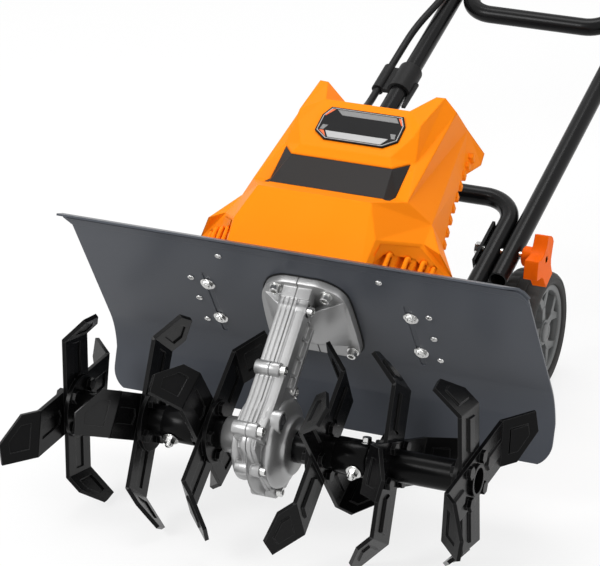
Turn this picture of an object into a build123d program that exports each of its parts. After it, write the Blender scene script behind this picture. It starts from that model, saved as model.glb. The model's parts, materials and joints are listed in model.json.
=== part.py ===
"""Walk-behind electric tiller, parked on its tines and its two rear wheels.

Millimetres, +Z up. The front of the machine faces -Y and the tine shaft lies along X.
The origin is on the floor, under the middle of the machine's length.
Places in the machine are worked out from the tine shaft: y back from it, z up from it.
"""

import os
from math import cos, pi, radians, sin, tan

from build123d import *

os.makedirs("parts", exist_ok=True)

# Tine rotors
shaft_z = 102.7
arm_half_width = 22.0
fold_leading = 66.0
fold_trailing = 75.0
tip_heel = 84.0
tip_reach = 109.0
tip_corner = 2.0
fold_angle = 45.0
plate_thick = 4.0
rotor_inner_x = 57.5
rotor_middle_x = 123.5
rotor_outer_x = 199.5
hub_plate_radius = 30.0
hub_plate_thick = 4.0
rib_height = 2.2
rib_draft = 30.0
emboss_height = 1.6
emboss_share = 0.55
groove_depth = 1.4
hub_bolt_place = 16.0
hub_bolt_radius = 6.3
hub_bolt_thick = 4.0

# Tine shaft and its sleeves
sleeve_radius = 15.0
sleeve_wall = 3.5
sleeve_left_start_x = 42.0
sleeve_right_start_x = 29.5
sleeve_end_x = 207.0
sleeve_mouth_x = 152.0
sleeve_mouth_radius = 12.0
shaft_clearance = 0.3
shaft_end_x = 150.0

# Sloping deck: the flat of the shield, which carries the gear case and the motor
deck_slope = 31.6
deck_y = 100.3
deck_z = 93.0
shield_thick = 2.0
shield_half_width = 235.0
shield_side_half_width = 228.0
shield_top = -88.0
shield_flat_end = 66.0
shield_crease_y = 148.0
shield_crease_z = -5.0
shield_bottom_y = 136.0
shield_bottom_z = -43.0
shield_lip_length = 12.0
shield_corner_radius = 22.0
groove_sink = 0.8

# Gear case
case_neck_half = 45.0
case_left_web = 14.0
case_right_web = 14.0
case_right_plate = 8.0
case_edge = 3.0
flange_thick = 8.0
drum_draft = 8.0
boss_radius = 6.5
plug_radius = 9.5
plug_face_x = 21.0
pocket_depth = 4.0
gusset_start = -30.0
gusset_length = 70.0
case_bore_clearance = 0.3

# Motor, one plain block under the hood
motor_radius = 44.0
motor_length = 150.0

# Hood
hood_seat_gap = 0.3
hood_upper_half = 46.0
hood_lower_half = 60.0
hood_rear_half = 52.0
hood_skirt_half = 106.0
skirt_hollow_front = 90.0
skirt_hollow_corner = 140.0
skirt_hollow_back = 204.0
skirt_hollow_low = 30.0
skirt_hollow_height = 86.0
window_half = 63.3
window_slope = 22.8
window_thick = 2.5
vent_count = 8
vent_start_y = 213.0
vent_pitch = 9.0
vent_width = 4.0
vent_height = 18.0
vent_lift = 7.0
vent_front_x = 79.0
vent_taper = 0.155
vent_taper_y = 208.0
fin_thick = 4.0
fin_sink = 2.5
intake_share = 0.8
intake_depth = 9.0
intake_facing = (0.75, -0.39, 0.53)
base_start = (110.0, 50.0)
base_slope = 26.0
base_thick = 3.0
label_place = (206.5, 235.3)
label_slope = 25.7
label_length = 43.0
label_thick = 1.5
label_half_low = 29.0
label_half_wide = 41.0
label_half_top = 35.5

# Tube frame and handle
tube_radius = 9.5
tube_wall = 1.5
handle_slope = 19.2
pivot_y = 367.0
pivot_z = 64.3
leg_x = 83.5
leg_bottom_s = -212.0
frame_bar_s = 79.0
frame_bend = 36.0
tube_side_gap = 0.5
handle_end_s = -41.0
handle_top_s = 470.0
upper_pivot_s = 435.0
upper_bar_s = 374.0
upper_bend = 30.0
upper_flare_s = 600.0
upper_wide_s = 760.0
upper_top_s = 985.0
upper_wide_x = 190.0
bolt_radius = 4.0
bolt_clearance = 0.3
bolt_head_radius = 7.0
bolt_head_thick = 5.0
knob_washer = 3.5
knob_hub_radius = 12.0
knob_lobe_radius = 6.5
knob_depth = 24.0
knob_lobe_depth = 20.0
knob_clearance = 0.1
bracket_gap = 0.3
frame_plate_width = 32.0

# Wheels
wheel_y = 421.0
wheel_radius = 63.0
wheel_width = 42.0
wheel_inner_x = 84.0
rim_radius = 50.0
rim_ring = 6.0
wheel_hub_radius = 13.0
spoke_count = 5
spoke_width = 8.0
branch_width = 6.0
spoke_thick = 10.0
spoke_start_angle = 18.0
wheel_bore_clearance = 0.2
axle_radius = 5.0
bracket_thick = 3.0

# Grips, switch box and cable
grip_inset = 140.0
grip_length = 95.0
grip_radius = 14.0
grip_gap = 0.2
switch_box_s = 790.0
switch_box_length = 84.0
switch_box_width = 46.0
switch_box_height = 50.0
switch_box_round = 8.0
switch_lever_n = 10.0
switch_lever_width = 12.0
switch_lever_length = 44.0
switch_lever_thick = 6.0
switch_lever_shift = 16.0
cable_radius = 4.0
gland_x = -54.0
gland_z = 151.0
gland_radius = 9.0
gland_start_y = 322.0
gland_end_y = 365.0
clip_s = 221.0
clip_length = 38.0
clip_radius = 13.0
clip_wall = 2.5
clip_reach = 24.0

# Worked out from the sizes above
grip_start_x = upper_wide_x - grip_inset
handle_x = leg_x + 2 * tube_radius + tube_side_gap
wheel_z = wheel_radius - shaft_z
handle_reach_y = pivot_y + (upper_top_s + tube_radius) * cos(radians(handle_slope))
tine_front = (
    fold_trailing + (tip_reach - fold_trailing) * cos(radians(fold_angle))
)
shaft_y = (tine_front - handle_reach_y) / 2

machine = Vector(0, shaft_y, shaft_z)
deck_normal = Vector(0, cos(radians(deck_slope)), sin(radians(deck_slope)))
deck = Plane(
    origin=machine + Vector(0, deck_y, deck_z), x_dir=(1, 0, 0), z_dir=deck_normal
)
handle_normal = Vector(0, -sin(radians(handle_slope)), cos(radians(handle_slope)))
handle_plane = Plane(
    origin=machine + Vector(0, pivot_y, pivot_z), x_dir=(1, 0, 0), z_dir=handle_normal
)


def side_at(x):
    """Upright plane across the machine: local x runs back, local y up, from the shaft."""
    return Plane(origin=machine + Vector(x, 0, 0), x_dir=(0, 1, 0), z_dir=(1, 0, 0))


def turned(plane, angle):
    """The plane turned by an angle about its own normal."""
    x_dir = plane.x_dir * cos(radians(angle)) + plane.y_dir * sin(radians(angle))
    return Plane(origin=plane.origin, x_dir=x_dir, z_dir=plane.z_dir)


def deck_point(v, w):
    """Side-plane place of a point v down the deck and w behind it."""
    slope = radians(deck_slope)
    return (
        deck_y + v * sin(slope) + w * cos(slope),
        deck_z - v * cos(slope) + w * sin(slope),
    )


def handle_point(s, n=0.0):
    """Side-plane place of a point s up the handle from its pivot and n above it."""
    slope = radians(handle_slope)
    return (
        pivot_y + s * cos(slope) - n * sin(slope),
        pivot_z + s * sin(slope) + n * cos(slope),
    )


def save(part, name):
    part.part.label = name
    export_step(part.part, f"parts/{name}.step")


# Tine rotors: two crossing strips whose ends are folded sideways, and a hub plate
tip_points = [
    (fold_leading, -arm_half_width),
    (tip_heel, -arm_half_width),
    (tip_reach, tip_corner),
    (tip_reach, arm_half_width),
    (fold_trailing, arm_half_width),
]


def folded_tip(strip, direction):
    """Plane of a folded tip, its outline there, and the plane and length of its fold."""
    start = Vector(*tip_points[0])
    end = Vector(*tip_points[-1])
    along = (end - start).normalized()
    outward = Vector(-along.Y, along.X) if along.Y < 0 else Vector(along.Y, -along.X)
    fold_line = strip.x_dir * along.X + strip.y_dir * along.Y
    flat_out = strip.x_dir * outward.X + strip.y_dir * outward.Y
    angle = radians(fold_angle)
    tip_out = flat_out * cos(angle) + strip.z_dir * direction * sin(angle)
    fold_start = strip.from_local_coords(start)
    tip_plane = Plane(
        origin=fold_start, x_dir=fold_line, z_dir=fold_line.cross(tip_out)
    )
    outline = []
    for point in tip_points:
        rel = Vector(*point) - start
        outline.append((rel.dot(along), rel.dot(outward)))
    fold_plane = Plane(origin=fold_start, z_dir=fold_line)
    return tip_plane, outline, fold_plane, (end - start).length


def shrunk(outline, share):
    """The outline drawn smaller about the middle of its corners."""
    mid_x = sum(point[0] for point in outline) / len(outline)
    mid_y = sum(point[1] for point in outline) / len(outline)
    return [(mid_x + share * (x - mid_x), mid_y + share * (y - mid_y)) for x, y in outline]


# Pressed rib along each arm, from the hub to the fold
rib_points = [(27, 0), (31, -7.5), (63, -7.5), (66.5, 7.5), (31, 7.5)]

rotor_rows = [
    # name, side, x of the rotor, degrees that it is turned
    ("left_inner", -1, rotor_inner_x, 54.0),
    ("left_middle", -1, rotor_middle_x, 26.0),
    ("left_outer", -1, rotor_outer_x, 0.0),
    ("right_inner", 1, rotor_inner_x, 53.0),
    ("right_middle", 1, rotor_middle_x, 21.0),
    ("right_outer", 1, rotor_outer_x, -4.0),
]
for row_name, side, rotor_x, turn in rotor_rows:
    with BuildPart() as rotor:
        rows = [
            # angle of the strip, way its tips fold, side of the rotor plane it lies on
            (90.0 - turn, -side, -side),
            (-turn, side, side),
        ]
        for strip_angle, fold_way, layer in rows:
            layer_x = layer * plate_thick / 2
            strip_plane = turned(side_at(side * rotor_x + layer_x), strip_angle)
            with BuildSketch(strip_plane):
                Polygon(
                    (fold_leading, -arm_half_width),
                    (fold_trailing, arm_half_width),
                    (-fold_leading, arm_half_width),
                    (-fold_trailing, -arm_half_width),
                    align=None,
                )
            extrude(amount=plate_thick / 2, both=True)
            for arm_turn in (0.0, 180.0):
                tip_plane, outline, fold_plane, fold_length = folded_tip(
                    turned(strip_plane, arm_turn), fold_way
                )
                with BuildSketch(tip_plane):
                    Polygon(*outline, align=None)
                extrude(amount=plate_thick / 2, both=True)
                with BuildSketch(fold_plane):
                    Circle(plate_thick / 2)
                extrude(amount=fold_length)
                out = 1 if tip_plane.z_dir.X * side > 0 else -1
                emboss = shrunk(outline, emboss_share)
                with BuildSketch(tip_plane.offset(out * plate_thick / 2)):
                    Polygon(*emboss, align=None)
                extrude(amount=out * emboss_height, taper=rib_draft)
                with BuildSketch(tip_plane.offset(-out * plate_thick / 2)):
                    Polygon(*emboss, align=None)
                extrude(amount=out * groove_depth, mode=Mode.SUBTRACT)
            face_x = side * rotor_x + layer_x
            with BuildSketch(turned(side_at(face_x + side * plate_thick / 2), strip_angle)):
                for way in (1, -1):
                    Polygon(*[(way * u, way * v) for u, v in rib_points], align=None)
            extrude(amount=side * rib_height, taper=rib_draft)
            with BuildSketch(turned(side_at(face_x - side * plate_thick / 2), strip_angle)):
                for way in (1, -1):
                    Polygon(*[(way * u, way * v) for u, v in rib_points], align=None)
            extrude(amount=side * groove_depth, mode=Mode.SUBTRACT)
        inner_face = side_at(side * (rotor_x - plate_thick))
        with BuildSketch(inner_face):
            Circle(hub_plate_radius)
        extrude(amount=-side * hub_plate_thick)
        for face_x, way in (
            (rotor_x + plate_thick, side),
            (rotor_x - plate_thick - hub_plate_thick, -side),
        ):
            with BuildSketch(turned(side_at(side * face_x), -turn)):
                with GridLocations(2 * hub_bolt_place, 2 * hub_bolt_place, 2, 2):
                    RegularPolygon(hub_bolt_radius, 6)
            extrude(amount=way * hub_bolt_thick)
        with BuildSketch(side_at(side * rotor_x)):
            Circle(sleeve_radius + shaft_clearance)
        extrude(amount=4 * plate_thick, both=True, mode=Mode.SUBTRACT)
    save(rotor, f"tine_rotor_{row_name}")

# Sleeves that carry the rotors, and the shaft through the gear case
for name, side, start_x in (
    ("left", -1, sleeve_left_start_x),
    ("right", 1, sleeve_right_start_x),
):
    with BuildPart() as sleeve:
        with BuildSketch(side_at(side * start_x)):
            Circle(sleeve_radius)
            Circle(sleeve_radius - sleeve_wall, mode=Mode.SUBTRACT)
        extrude(amount=side * (sleeve_end_x - start_x))
        with BuildSketch(side_at(side * sleeve_mouth_x)):
            Circle(sleeve_mouth_radius)
        extrude(amount=side * (sleeve_end_x - sleeve_mouth_x), mode=Mode.SUBTRACT)
    save(sleeve, f"tine_sleeve_{name}")

shaft_radius = sleeve_radius - sleeve_wall - shaft_clearance
with BuildPart() as tine_shaft:
    with BuildSketch(side_at(0)):
        Circle(shaft_radius)
    extrude(amount=shaft_end_x, both=True)
save(tine_shaft, "tine_shaft")

# Gear case, two halves that meet on the middle plane, on a flange against the shield
case_front = -(shield_thick / 2)
flange_front = case_front - flange_thick
neck_top = deck_point(-case_neck_half, flange_front)
neck_bottom = deck_point(case_neck_half, flange_front)
case_outline = [
    # down the front, round the drum, back up to the flange
    neck_top,
    (-13, 49.5),
    (-47, 26),
    (-51.5, 14),
    (-40.6, -6.4),
    (-27.5, -24.5),
    (-14, -41),
    (4, -55.4),
    (22, -58),
    (40, -50),
    (52, -30),
    (60, 0),
    neck_bottom,
]
web_outline = [neck_top, (-13, 49.5), (-35, 34), (-14, 12), (60, 0), neck_bottom]
side_pocket = [(70.5, 112.6), (83.5, 98.7), (28.7, 47.5), (10.6, 56.7)]
pocket_ribs = [
    # foot and head of each rib across the pocket
    ((30, 45), (32, 82)),
    ((48, 62), (50, 100)),
    ((66, 78), (68, 118)),
]
boss_rows = [
    # y and z of a screw, x of its seat on the right half
    (60.3, 108.5, 14.0),
    (7.3, 70.1, 10.0),
    (-44.0, 31.0, 10.0),
    (-38.5, -10.9, 10.0),
    (-1.5, -49.2, 10.0),
]
flange_rows = {
    "left": [
        (0, -66),
        (-19, -64),
        (-32, -48),
        (-42.5, -14),
        (-47, 19),
        (-48.7, 45),
        (-40, 58),
        (0, 62),
    ],
    "right": [
        (0, -66),
        (26, -65),
        (40, -59),
        (45.3, -45),
        (47.8, -20),
        (47.8, 33),
        (44, 48),
        (34, 58),
        (0, 62),
    ],
}
gusset_plane = Plane(
    origin=machine + Vector(0, *deck_point(gusset_start, 0)),
    x_dir=(1, 0, 0),
    z_dir=(0, sin(radians(deck_slope)), -cos(radians(deck_slope))),
)
drum_rows = [
    # half, radius, x where it starts and ends
    ("left", 40.0, 0.0, 20.0),
    ("left", 17.5, 20.0, 41.0),
    ("right", 42.0, 0.0, 20.0),
    ("right", 27.0, 20.0, 28.5),
]
for name, side, plate, gusset_reach in (
    ("left", -1, case_left_web, 26.0),
    ("right", 1, case_right_plate, 31.0),
):
    with BuildPart() as case_half:
        with BuildSketch(side_at(0)):
            Polygon(*case_outline, align=None)
        extrude(amount=side * plate)
        outer_face = case_half.faces().sort_by(Axis.X)[0 if side < 0 else -1]
        chamfer(outer_face.edges(), case_edge)
        if side > 0:
            with BuildSketch(side_at(0)):
                Polygon(*web_outline, align=None)
            extrude(amount=case_right_web)
            with BuildSketch(side_at(case_right_web)):
                Polygon(*side_pocket, align=None)
                for foot, head in pocket_ribs:
                    with BuildLine():
                        Line(foot, head)
                    trace(line_width=3, mode=Mode.SUBTRACT)
            extrude(amount=-pocket_depth, mode=Mode.SUBTRACT)
            with BuildSketch(side_at(0)):
                with Locations((-18, 30.8)):
                    Circle(plug_radius)
            extrude(amount=plug_face_x)
        for half, radius, start_x, end_x in drum_rows:
            if half == name:
                with BuildSketch(side_at(side * start_x)):
                    Circle(radius)
                extrude(amount=side * (end_x - start_x), taper=drum_draft)
        for boss_y, boss_z, seat_x in boss_rows:
            with BuildSketch(side_at(0)):
                with Locations((boss_y, boss_z)):
                    Circle(boss_radius)
            extrude(amount=side * (case_left_web if side < 0 else seat_x))
        with BuildSketch(deck.offset(flange_front)):
            Polygon(*flange_rows[name], align=None)
        extrude(amount=flange_thick)
        with BuildSketch(gusset_plane):
            Polygon(
                (0, -flange_front - 0.5),
                (0, gusset_reach),
                (side * case_left_web, gusset_reach),
                (side * 43.5, -flange_front - 0.5),
                align=None,
            )
        extrude(amount=gusset_length)
        with BuildSketch(side_at(0)):
            Circle(shaft_radius + case_bore_clearance)
        extrude(amount=side * 2 * sleeve_left_start_x, mode=Mode.SUBTRACT)
    save(case_half, f"gear_case_{name}")

# Motor block behind the shield
with BuildPart() as motor:
    with BuildSketch(deck.offset(shield_thick / 2)):
        Circle(motor_radius)
    extrude(amount=motor_length)
save(motor, "motor_block")

# Shield: a bent sheet with a lip at its top and a crease above its bottom edge
shield_top_yz = deck_point(shield_top, 0)
shield_flat_yz = deck_point(shield_flat_end, 0)
with BuildPart() as shield:
    with BuildSketch(side_at(0)):
        with BuildLine() as shield_line:
            Polyline(
                (shield_top_yz[0] - shield_lip_length, shield_top_yz[1] + 4.0),
                shield_top_yz,
                shield_flat_yz,
            )
            TangentArc(
                shield_flat_yz,
                (shield_crease_y, shield_crease_z),
                tangent=(sin(radians(deck_slope)), -cos(radians(deck_slope))),
            )
            Line(
                (shield_crease_y, shield_crease_z), (shield_bottom_y, shield_bottom_z)
            )
        trace(line_width=shield_thick)
    extrude(amount=shield_half_width, both=True)
    lip_z = shaft_z + shield_top_yz[1]
    with BuildSketch(Plane.XZ.offset(-shaft_y)) as shield_face:
        with BuildLine():
            Polyline(
                (-shield_half_width, lip_z + 50),
                (-shield_half_width, lip_z - 4),
                (-shield_side_half_width, lip_z - 12),
                (-shield_side_half_width, shaft_z + shield_bottom_z - 2),
                (shield_side_half_width, shaft_z + shield_bottom_z - 2),
                (shield_side_half_width, lip_z - 12),
                (shield_half_width, lip_z - 4),
                (shield_half_width, lip_z + 50),
                close=True,
            )
        make_face()
        fillet(shield_face.vertices().group_by(Axis.Y)[0], radius=shield_corner_radius)
    extrude(amount=400, both=True, mode=Mode.INTERSECT)
    with BuildSketch(deck.offset(-shield_thick / 2)):
        with Locations((-102, 15), (102, 15)):
            SlotOverall(94, 6, rotation=90)
    extrude(amount=groove_sink, mode=Mode.SUBTRACT)
save(shield, "shield")

# Hood: a faceted shell over the motor, mirrored about the middle plane
hood_points = {
    # half width, back, up
    "foot": (68, 50, 150),
    "sill": (57, 107, 206),
    "window_low": (58, 134, 199),
    "window_corner": (63.5, 151, 196),
    "window_high": (51.5, 172, 215),
    "window_tip": (67, 193, 216),
    "rim": (46, 181, 223),
    "edge_low": (58.5, 205, 236),
    "edge_high": (62, 217, 244),
    "crest": (43, 237, 250),
    "heel": (39, 275, 235),
    "ear_in": (56, 273, 254),
    "ear_out": (65, 274, 254),
    "apex": (75, 279, 239),
    "strip_low": (78.5, 144, 196),
    "shoulder": (97, 160, 171),
    "back_high": (70, 323, 206),
    "tail": (80, 345, 175),
    "tail_low": (80, 336, 166),
    "vent_high": (80, 285, 172),
    "vent_mid": (85, 244, 153),
    "vent_low": (90, 208, 129),
    "hip": (118, 128, 156),
    "skirt": (129, 133, 132),
    "pocket_in": (71, 84, 180),
    "pocket_out": (100.6, 130, 163),
    "front_low": (68, 80, 48),
    "skirt_low": (124, 114, 52),
    "base_front": (78, 208, 97.7),
    "base_mid": (72, 244, 115.3),
    "base_rear": (64, 285, 135.2),
    "base_tail": (60, 336, 160.0),
}
hood_spans = [
    ("foot", "sill"),
    ("sill", "window_low"),
    ("window_low", "window_high"),
    ("window_high", "rim"),
    ("rim", "crest"),
    ("crest", "heel"),
    ("heel", "back_high"),
    ("back_high", "tail"),
    ("tail", "tail_low"),
    ("tail_low", "base_tail"),
    ("base_tail", "base_rear"),
    ("base_rear", "base_mid"),
    ("base_mid", "base_front"),
    ("base_front", "skirt_low"),
    ("skirt_low", "front_low"),
    ("front_low", "foot"),
]
hood_facets = [
    ("foot", "sill", "pocket_in"),
    ("sill", "strip_low", "window_low"),
    ("window_low", "strip_low", "window_corner"),
    ("window_low", "window_corner", "window_high"),
    ("window_corner", "window_tip", "window_high"),
    ("window_corner", "strip_low", "window_tip"),
    ("strip_low", "apex", "window_tip"),
    ("window_high", "window_tip", "rim"),
    ("rim", "window_tip", "edge_low"),
    ("rim", "edge_low", "crest"),
    ("edge_low", "edge_high", "crest"),
    ("crest", "edge_high", "ear_in"),
    ("crest", "ear_in", "heel"),
    ("edge_high", "ear_out", "ear_in"),
    ("window_tip", "apex", "ear_out"),
    ("window_tip", "ear_out", "edge_high"),
    ("window_tip", "edge_high", "edge_low"),
    ("strip_low", "shoulder", "back_high"),
    ("strip_low", "back_high", "apex"),
    ("ear_out", "apex", "back_high"),
    ("ear_out", "back_high", "ear_in"),
    ("ear_in", "back_high", "heel"),
    ("sill", "shoulder", "strip_low"),
    ("sill", "pocket_in", "shoulder"),
    ("pocket_in", "pocket_out", "shoulder"),
    ("shoulder", "pocket_out", "hip"),
    ("hip", "pocket_out", "skirt"),
    ("foot", "pocket_in", "pocket_out"),
    ("foot", "pocket_out", "skirt"),
    ("foot", "skirt", "skirt_low"),
    ("foot", "skirt_low", "front_low"),
    ("shoulder", "hip", "vent_low"),
    ("shoulder", "vent_low", "vent_mid"),
    ("shoulder", "vent_mid", "vent_high"),
    ("shoulder", "vent_high", "back_high"),
    ("back_high", "vent_high", "tail_low"),
    ("back_high", "tail_low", "tail"),
    ("hip", "skirt", "vent_low"),
    ("skirt", "skirt_low", "base_front"),
    ("skirt", "base_front", "vent_low"),
    ("vent_low", "base_front", "base_mid"),
    ("vent_low", "base_mid", "vent_mid"),
    ("vent_mid", "base_mid", "base_rear"),
    ("vent_mid", "base_rear", "vent_high"),
    ("vent_high", "base_rear", "base_tail"),
    ("vent_high", "base_tail", "tail_low"),
]


def hood_point(name, side=1):
    half_width, back, up = hood_points[name]
    return machine + Vector(side * half_width, back, up)


faces = []
for first, second in hood_spans:
    corners = [
        hood_point(first),
        hood_point(second),
        hood_point(second, -1),
        hood_point(first, -1),
    ]
    faces.append(Face(Wire.make_polygon(corners, close=True)))
for names in hood_facets:
    for side in (1, -1):
        corners = [hood_point(corner, side) for corner in names]
        faces.append(Face(Wire.make_polygon(corners, close=True)))
hood_form = Solid(Shell(faces))


def sunk(distance, direction):
    """The hood's form moved inwards by a distance against a direction."""
    return hood_form.moved(Location(-direction.normalized() * distance))


# Window band: the top layer of the form between the valley and the rim
window_normal = Vector(0, -sin(radians(window_slope)), cos(radians(window_slope)))
window_bounds = [(135.5, 185), (135.5, 210), (171.7, 216.5), (172.3, 214.8), (192, 215.5), (192, 185)]
with BuildPart() as window_seat:
    with BuildSketch(side_at(0)):
        Polygon(*window_bounds, align=None)
        offset(amount=hood_seat_gap, kind=Kind.INTERSECTION)
    extrude(amount=window_half + hood_seat_gap, both=True)
    add(hood_form, mode=Mode.INTERSECT)
    add(sunk(window_thick + hood_seat_gap, window_normal), mode=Mode.SUBTRACT)
with BuildPart() as hood_window:
    with BuildSketch(side_at(0)):
        Polygon(*window_bounds, align=None)
    extrude(amount=window_half, both=True)
    add(hood_form, mode=Mode.INTERSECT)
    add(sunk(window_thick, window_normal), mode=Mode.SUBTRACT)
save(hood_window, "hood_window")

# Hollow of the hood, round the motor, and the two slanted air intakes with their fins
upper_hollow = [
    (40, 137),
    (60, 157),
    (107, 200),
    (134, 191),
    (172, 207),
    (181, 216),
    (212, 233),
    (270, 230),
    (308, 204),
    (312, 160),
    (200, 130),
    (60, 100),
]
lower_hollow = [(40, 30), (40, 140), (60, 150), (225, 150), (225, 30)]
rear_hollow = [(224, 60), (224, 160), (312, 160), (312, 60)]
fin_rows = [84.0, 97.0, 109.0, 120.0]
intake_corners = ["foot", "pocket_in", "pocket_out", "skirt"]
intake_parts = []
for side in (1, -1):
    face_x, face_y, face_z = intake_facing
    intake_normal = Vector(side * face_x, face_y, face_z).normalized()
    corners = [hood_point(corner, side) for corner in intake_corners]
    middle = (corners[0] + corners[1] + corners[2] + corners[3]) * 0.25
    intake_plane = Plane(origin=middle, z_dir=intake_normal)
    flat = [intake_plane.to_local_coords(corner) for corner in corners]
    with BuildPart() as fins:
        for fin_x in fin_rows:
            with BuildSketch(side_at(side * fin_x)):
                Rectangle(600, 600)
            extrude(amount=fin_thick / 2, both=True)
        add(sunk(fin_sink, intake_normal), mode=Mode.INTERSECT)
    with BuildPart() as intake:
        with BuildSketch(intake_plane):
            Polygon(*[(intake_share * p.X, intake_share * p.Y) for p in flat], align=None)
        extrude(amount=-intake_depth)
        with BuildSketch(intake_plane):
            Polygon(*[(intake_share * p.X, intake_share * p.Y) for p in flat], align=None)
        extrude(amount=3 * intake_depth)
        add(fins.part, mode=Mode.SUBTRACT)
    intake_parts.append(intake.part)

with BuildPart() as hood:
    add(hood_form)
    with BuildSketch(deck.offset(shield_thick / 2 + hood_seat_gap)):
        Rectangle(600, 800)
    extrude(amount=-300, mode=Mode.SUBTRACT)
    add(window_seat.part, mode=Mode.SUBTRACT)
    for outline, half in (
        (upper_hollow, hood_upper_half),
        (lower_hollow, hood_lower_half),
        (rear_hollow, hood_rear_half),
    ):
        with BuildSketch(side_at(0)):
            Polygon(*outline, align=None)
        extrude(amount=half, both=True, mode=Mode.SUBTRACT)
    with BuildSketch(Plane.XY.offset(shaft_z + skirt_hollow_low)):
        for side in (1, -1):
            Polygon(
                (side * (hood_lower_half - 1), shaft_y + skirt_hollow_front),
                (side * hood_skirt_half, shaft_y + skirt_hollow_front),
                (side * hood_skirt_half, shaft_y + skirt_hollow_corner),
                (side * (hood_lower_half + 10), shaft_y + skirt_hollow_back),
                (side * (hood_lower_half - 1), shaft_y + skirt_hollow_back),
                align=None,
            )
    extrude(amount=skirt_hollow_height, mode=Mode.SUBTRACT)
    for intake_part in intake_parts:
        add(intake_part, mode=Mode.SUBTRACT)
    for slot in range(vent_count):
        slot_y = vent_start_y + slot * vent_pitch
        base_rise = (slot_y - base_start[0]) * tan(radians(base_slope))
        slot_z = base_start[1] + base_rise + vent_lift
        slot_x = vent_front_x - (slot_y - vent_taper_y) * vent_taper
        for side in (1, -1):
            with BuildSketch(side_at(side * slot_x)):
                with Locations((slot_y, slot_z + vent_height / 2)):
                    Rectangle(vent_width, vent_height)
            extrude(amount=side * 60, mode=Mode.SUBTRACT)
save(hood, "hood")

# Blank label plate on the hood's top panel
label_plane = Plane(
    origin=machine + Vector(0, *label_place),
    x_dir=(1, 0, 0),
    z_dir=(0, -sin(radians(label_slope)), cos(radians(label_slope))),
)
with BuildPart() as label_plate:
    with BuildSketch(label_plane.offset(hood_seat_gap)):
        half = label_length / 2
        Polygon(
            (label_half_low, -half),
            (label_half_wide, 10 - half),
            (label_half_wide, half - 12),
            (label_half_top, half),
            (-label_half_top, half),
            (-label_half_wide, half - 12),
            (-label_half_wide, 10 - half),
            (-label_half_low, -half),
            align=None,
        )
    extrude(amount=label_thick)
save(label_plate, "label_plate")

# Tray that closes the hood from below: half widths and places back along it
tray_corners = [(106, 24), (72, 109), (56, 230)]
base_normal = Vector(0, -sin(radians(base_slope)), cos(radians(base_slope)))
base_plane = Plane(
    origin=machine + Vector(0, *base_start), x_dir=(1, 0, 0), z_dir=base_normal
)
with BuildPart() as hood_base:
    with BuildSketch(base_plane.offset(-hood_seat_gap)):
        Polygon(*tray_corners, *[(-x, y) for x, y in reversed(tray_corners)], align=None)
    extrude(amount=-base_thick)
    with BuildSketch(deck):
        Circle(motor_radius + hood_seat_gap)
    extrude(amount=2 * motor_length, mode=Mode.SUBTRACT)
save(hood_base, "hood_base")

# Lower frame: one bent tube, its legs running down to the back of the shield
with BuildPart() as lower_frame:
    with BuildLine(handle_plane) as frame_line:
        FilletPolyline(
            (-leg_x, leg_bottom_s),
            (-leg_x, frame_bar_s),
            (leg_x, frame_bar_s),
            (leg_x, leg_bottom_s),
            radius=frame_bend,
        )
    with BuildSketch(Plane(origin=frame_line.line @ 0, z_dir=frame_line.line % 0)):
        Circle(tube_radius)
        Circle(tube_radius - tube_wall, mode=Mode.SUBTRACT)
    sweep()
    with BuildSketch(side_at(0)):
        with Locations(handle_point(0)):
            Circle(bolt_radius + bolt_clearance)
    extrude(amount=leg_x + 2 * tube_radius, both=True, mode=Mode.SUBTRACT)
save(lower_frame, "lower_frame")

# Brackets that bolt the frame's legs to the back of the shield
for name, side in (("left", -1), ("right", 1)):
    web_in = leg_x - tube_radius - bracket_gap - bracket_thick
    with BuildPart() as frame_bracket:
        with BuildSketch(deck.offset(shield_thick / 2)):
            with Locations((side * (web_in + frame_plate_width / 2), 45.5)):
                Rectangle(frame_plate_width, 31)
        extrude(amount=bracket_thick)
        with BuildSketch(side_at(side * web_in)):
            Polygon(
                deck_point(40, shield_thick / 2),
                deck_point(61, shield_thick / 2),
                handle_point(-205, -9),
                handle_point(-140, -9),
                handle_point(-140, 9),
                align=None,
            )
        extrude(amount=side * bracket_thick)
    save(frame_bracket, f"frame_bracket_{name}")

# Lower handle tubes, outside the frame's legs, on the pivot bolts
for name, side in (("left", -1), ("right", 1)):
    with BuildPart() as handle_tube:
        with BuildSketch(
            Plane(
                origin=handle_plane.from_local_coords((side * handle_x, handle_end_s, 0)),
                z_dir=handle_plane.y_dir,
            )
        ):
            Circle(tube_radius)
            Circle(tube_radius - tube_wall, mode=Mode.SUBTRACT)
        extrude(amount=handle_top_s - handle_end_s)
        for bolt_s in (0.0, upper_pivot_s):
            bolt_y, bolt_z = handle_point(bolt_s)
            with BuildSketch(side_at(side * handle_x)):
                with Locations((bolt_y, bolt_z)):
                    Circle(bolt_radius + bolt_clearance)
            extrude(amount=2 * tube_radius, both=True, mode=Mode.SUBTRACT)
    save(handle_tube, f"handle_tube_{name}")

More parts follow.
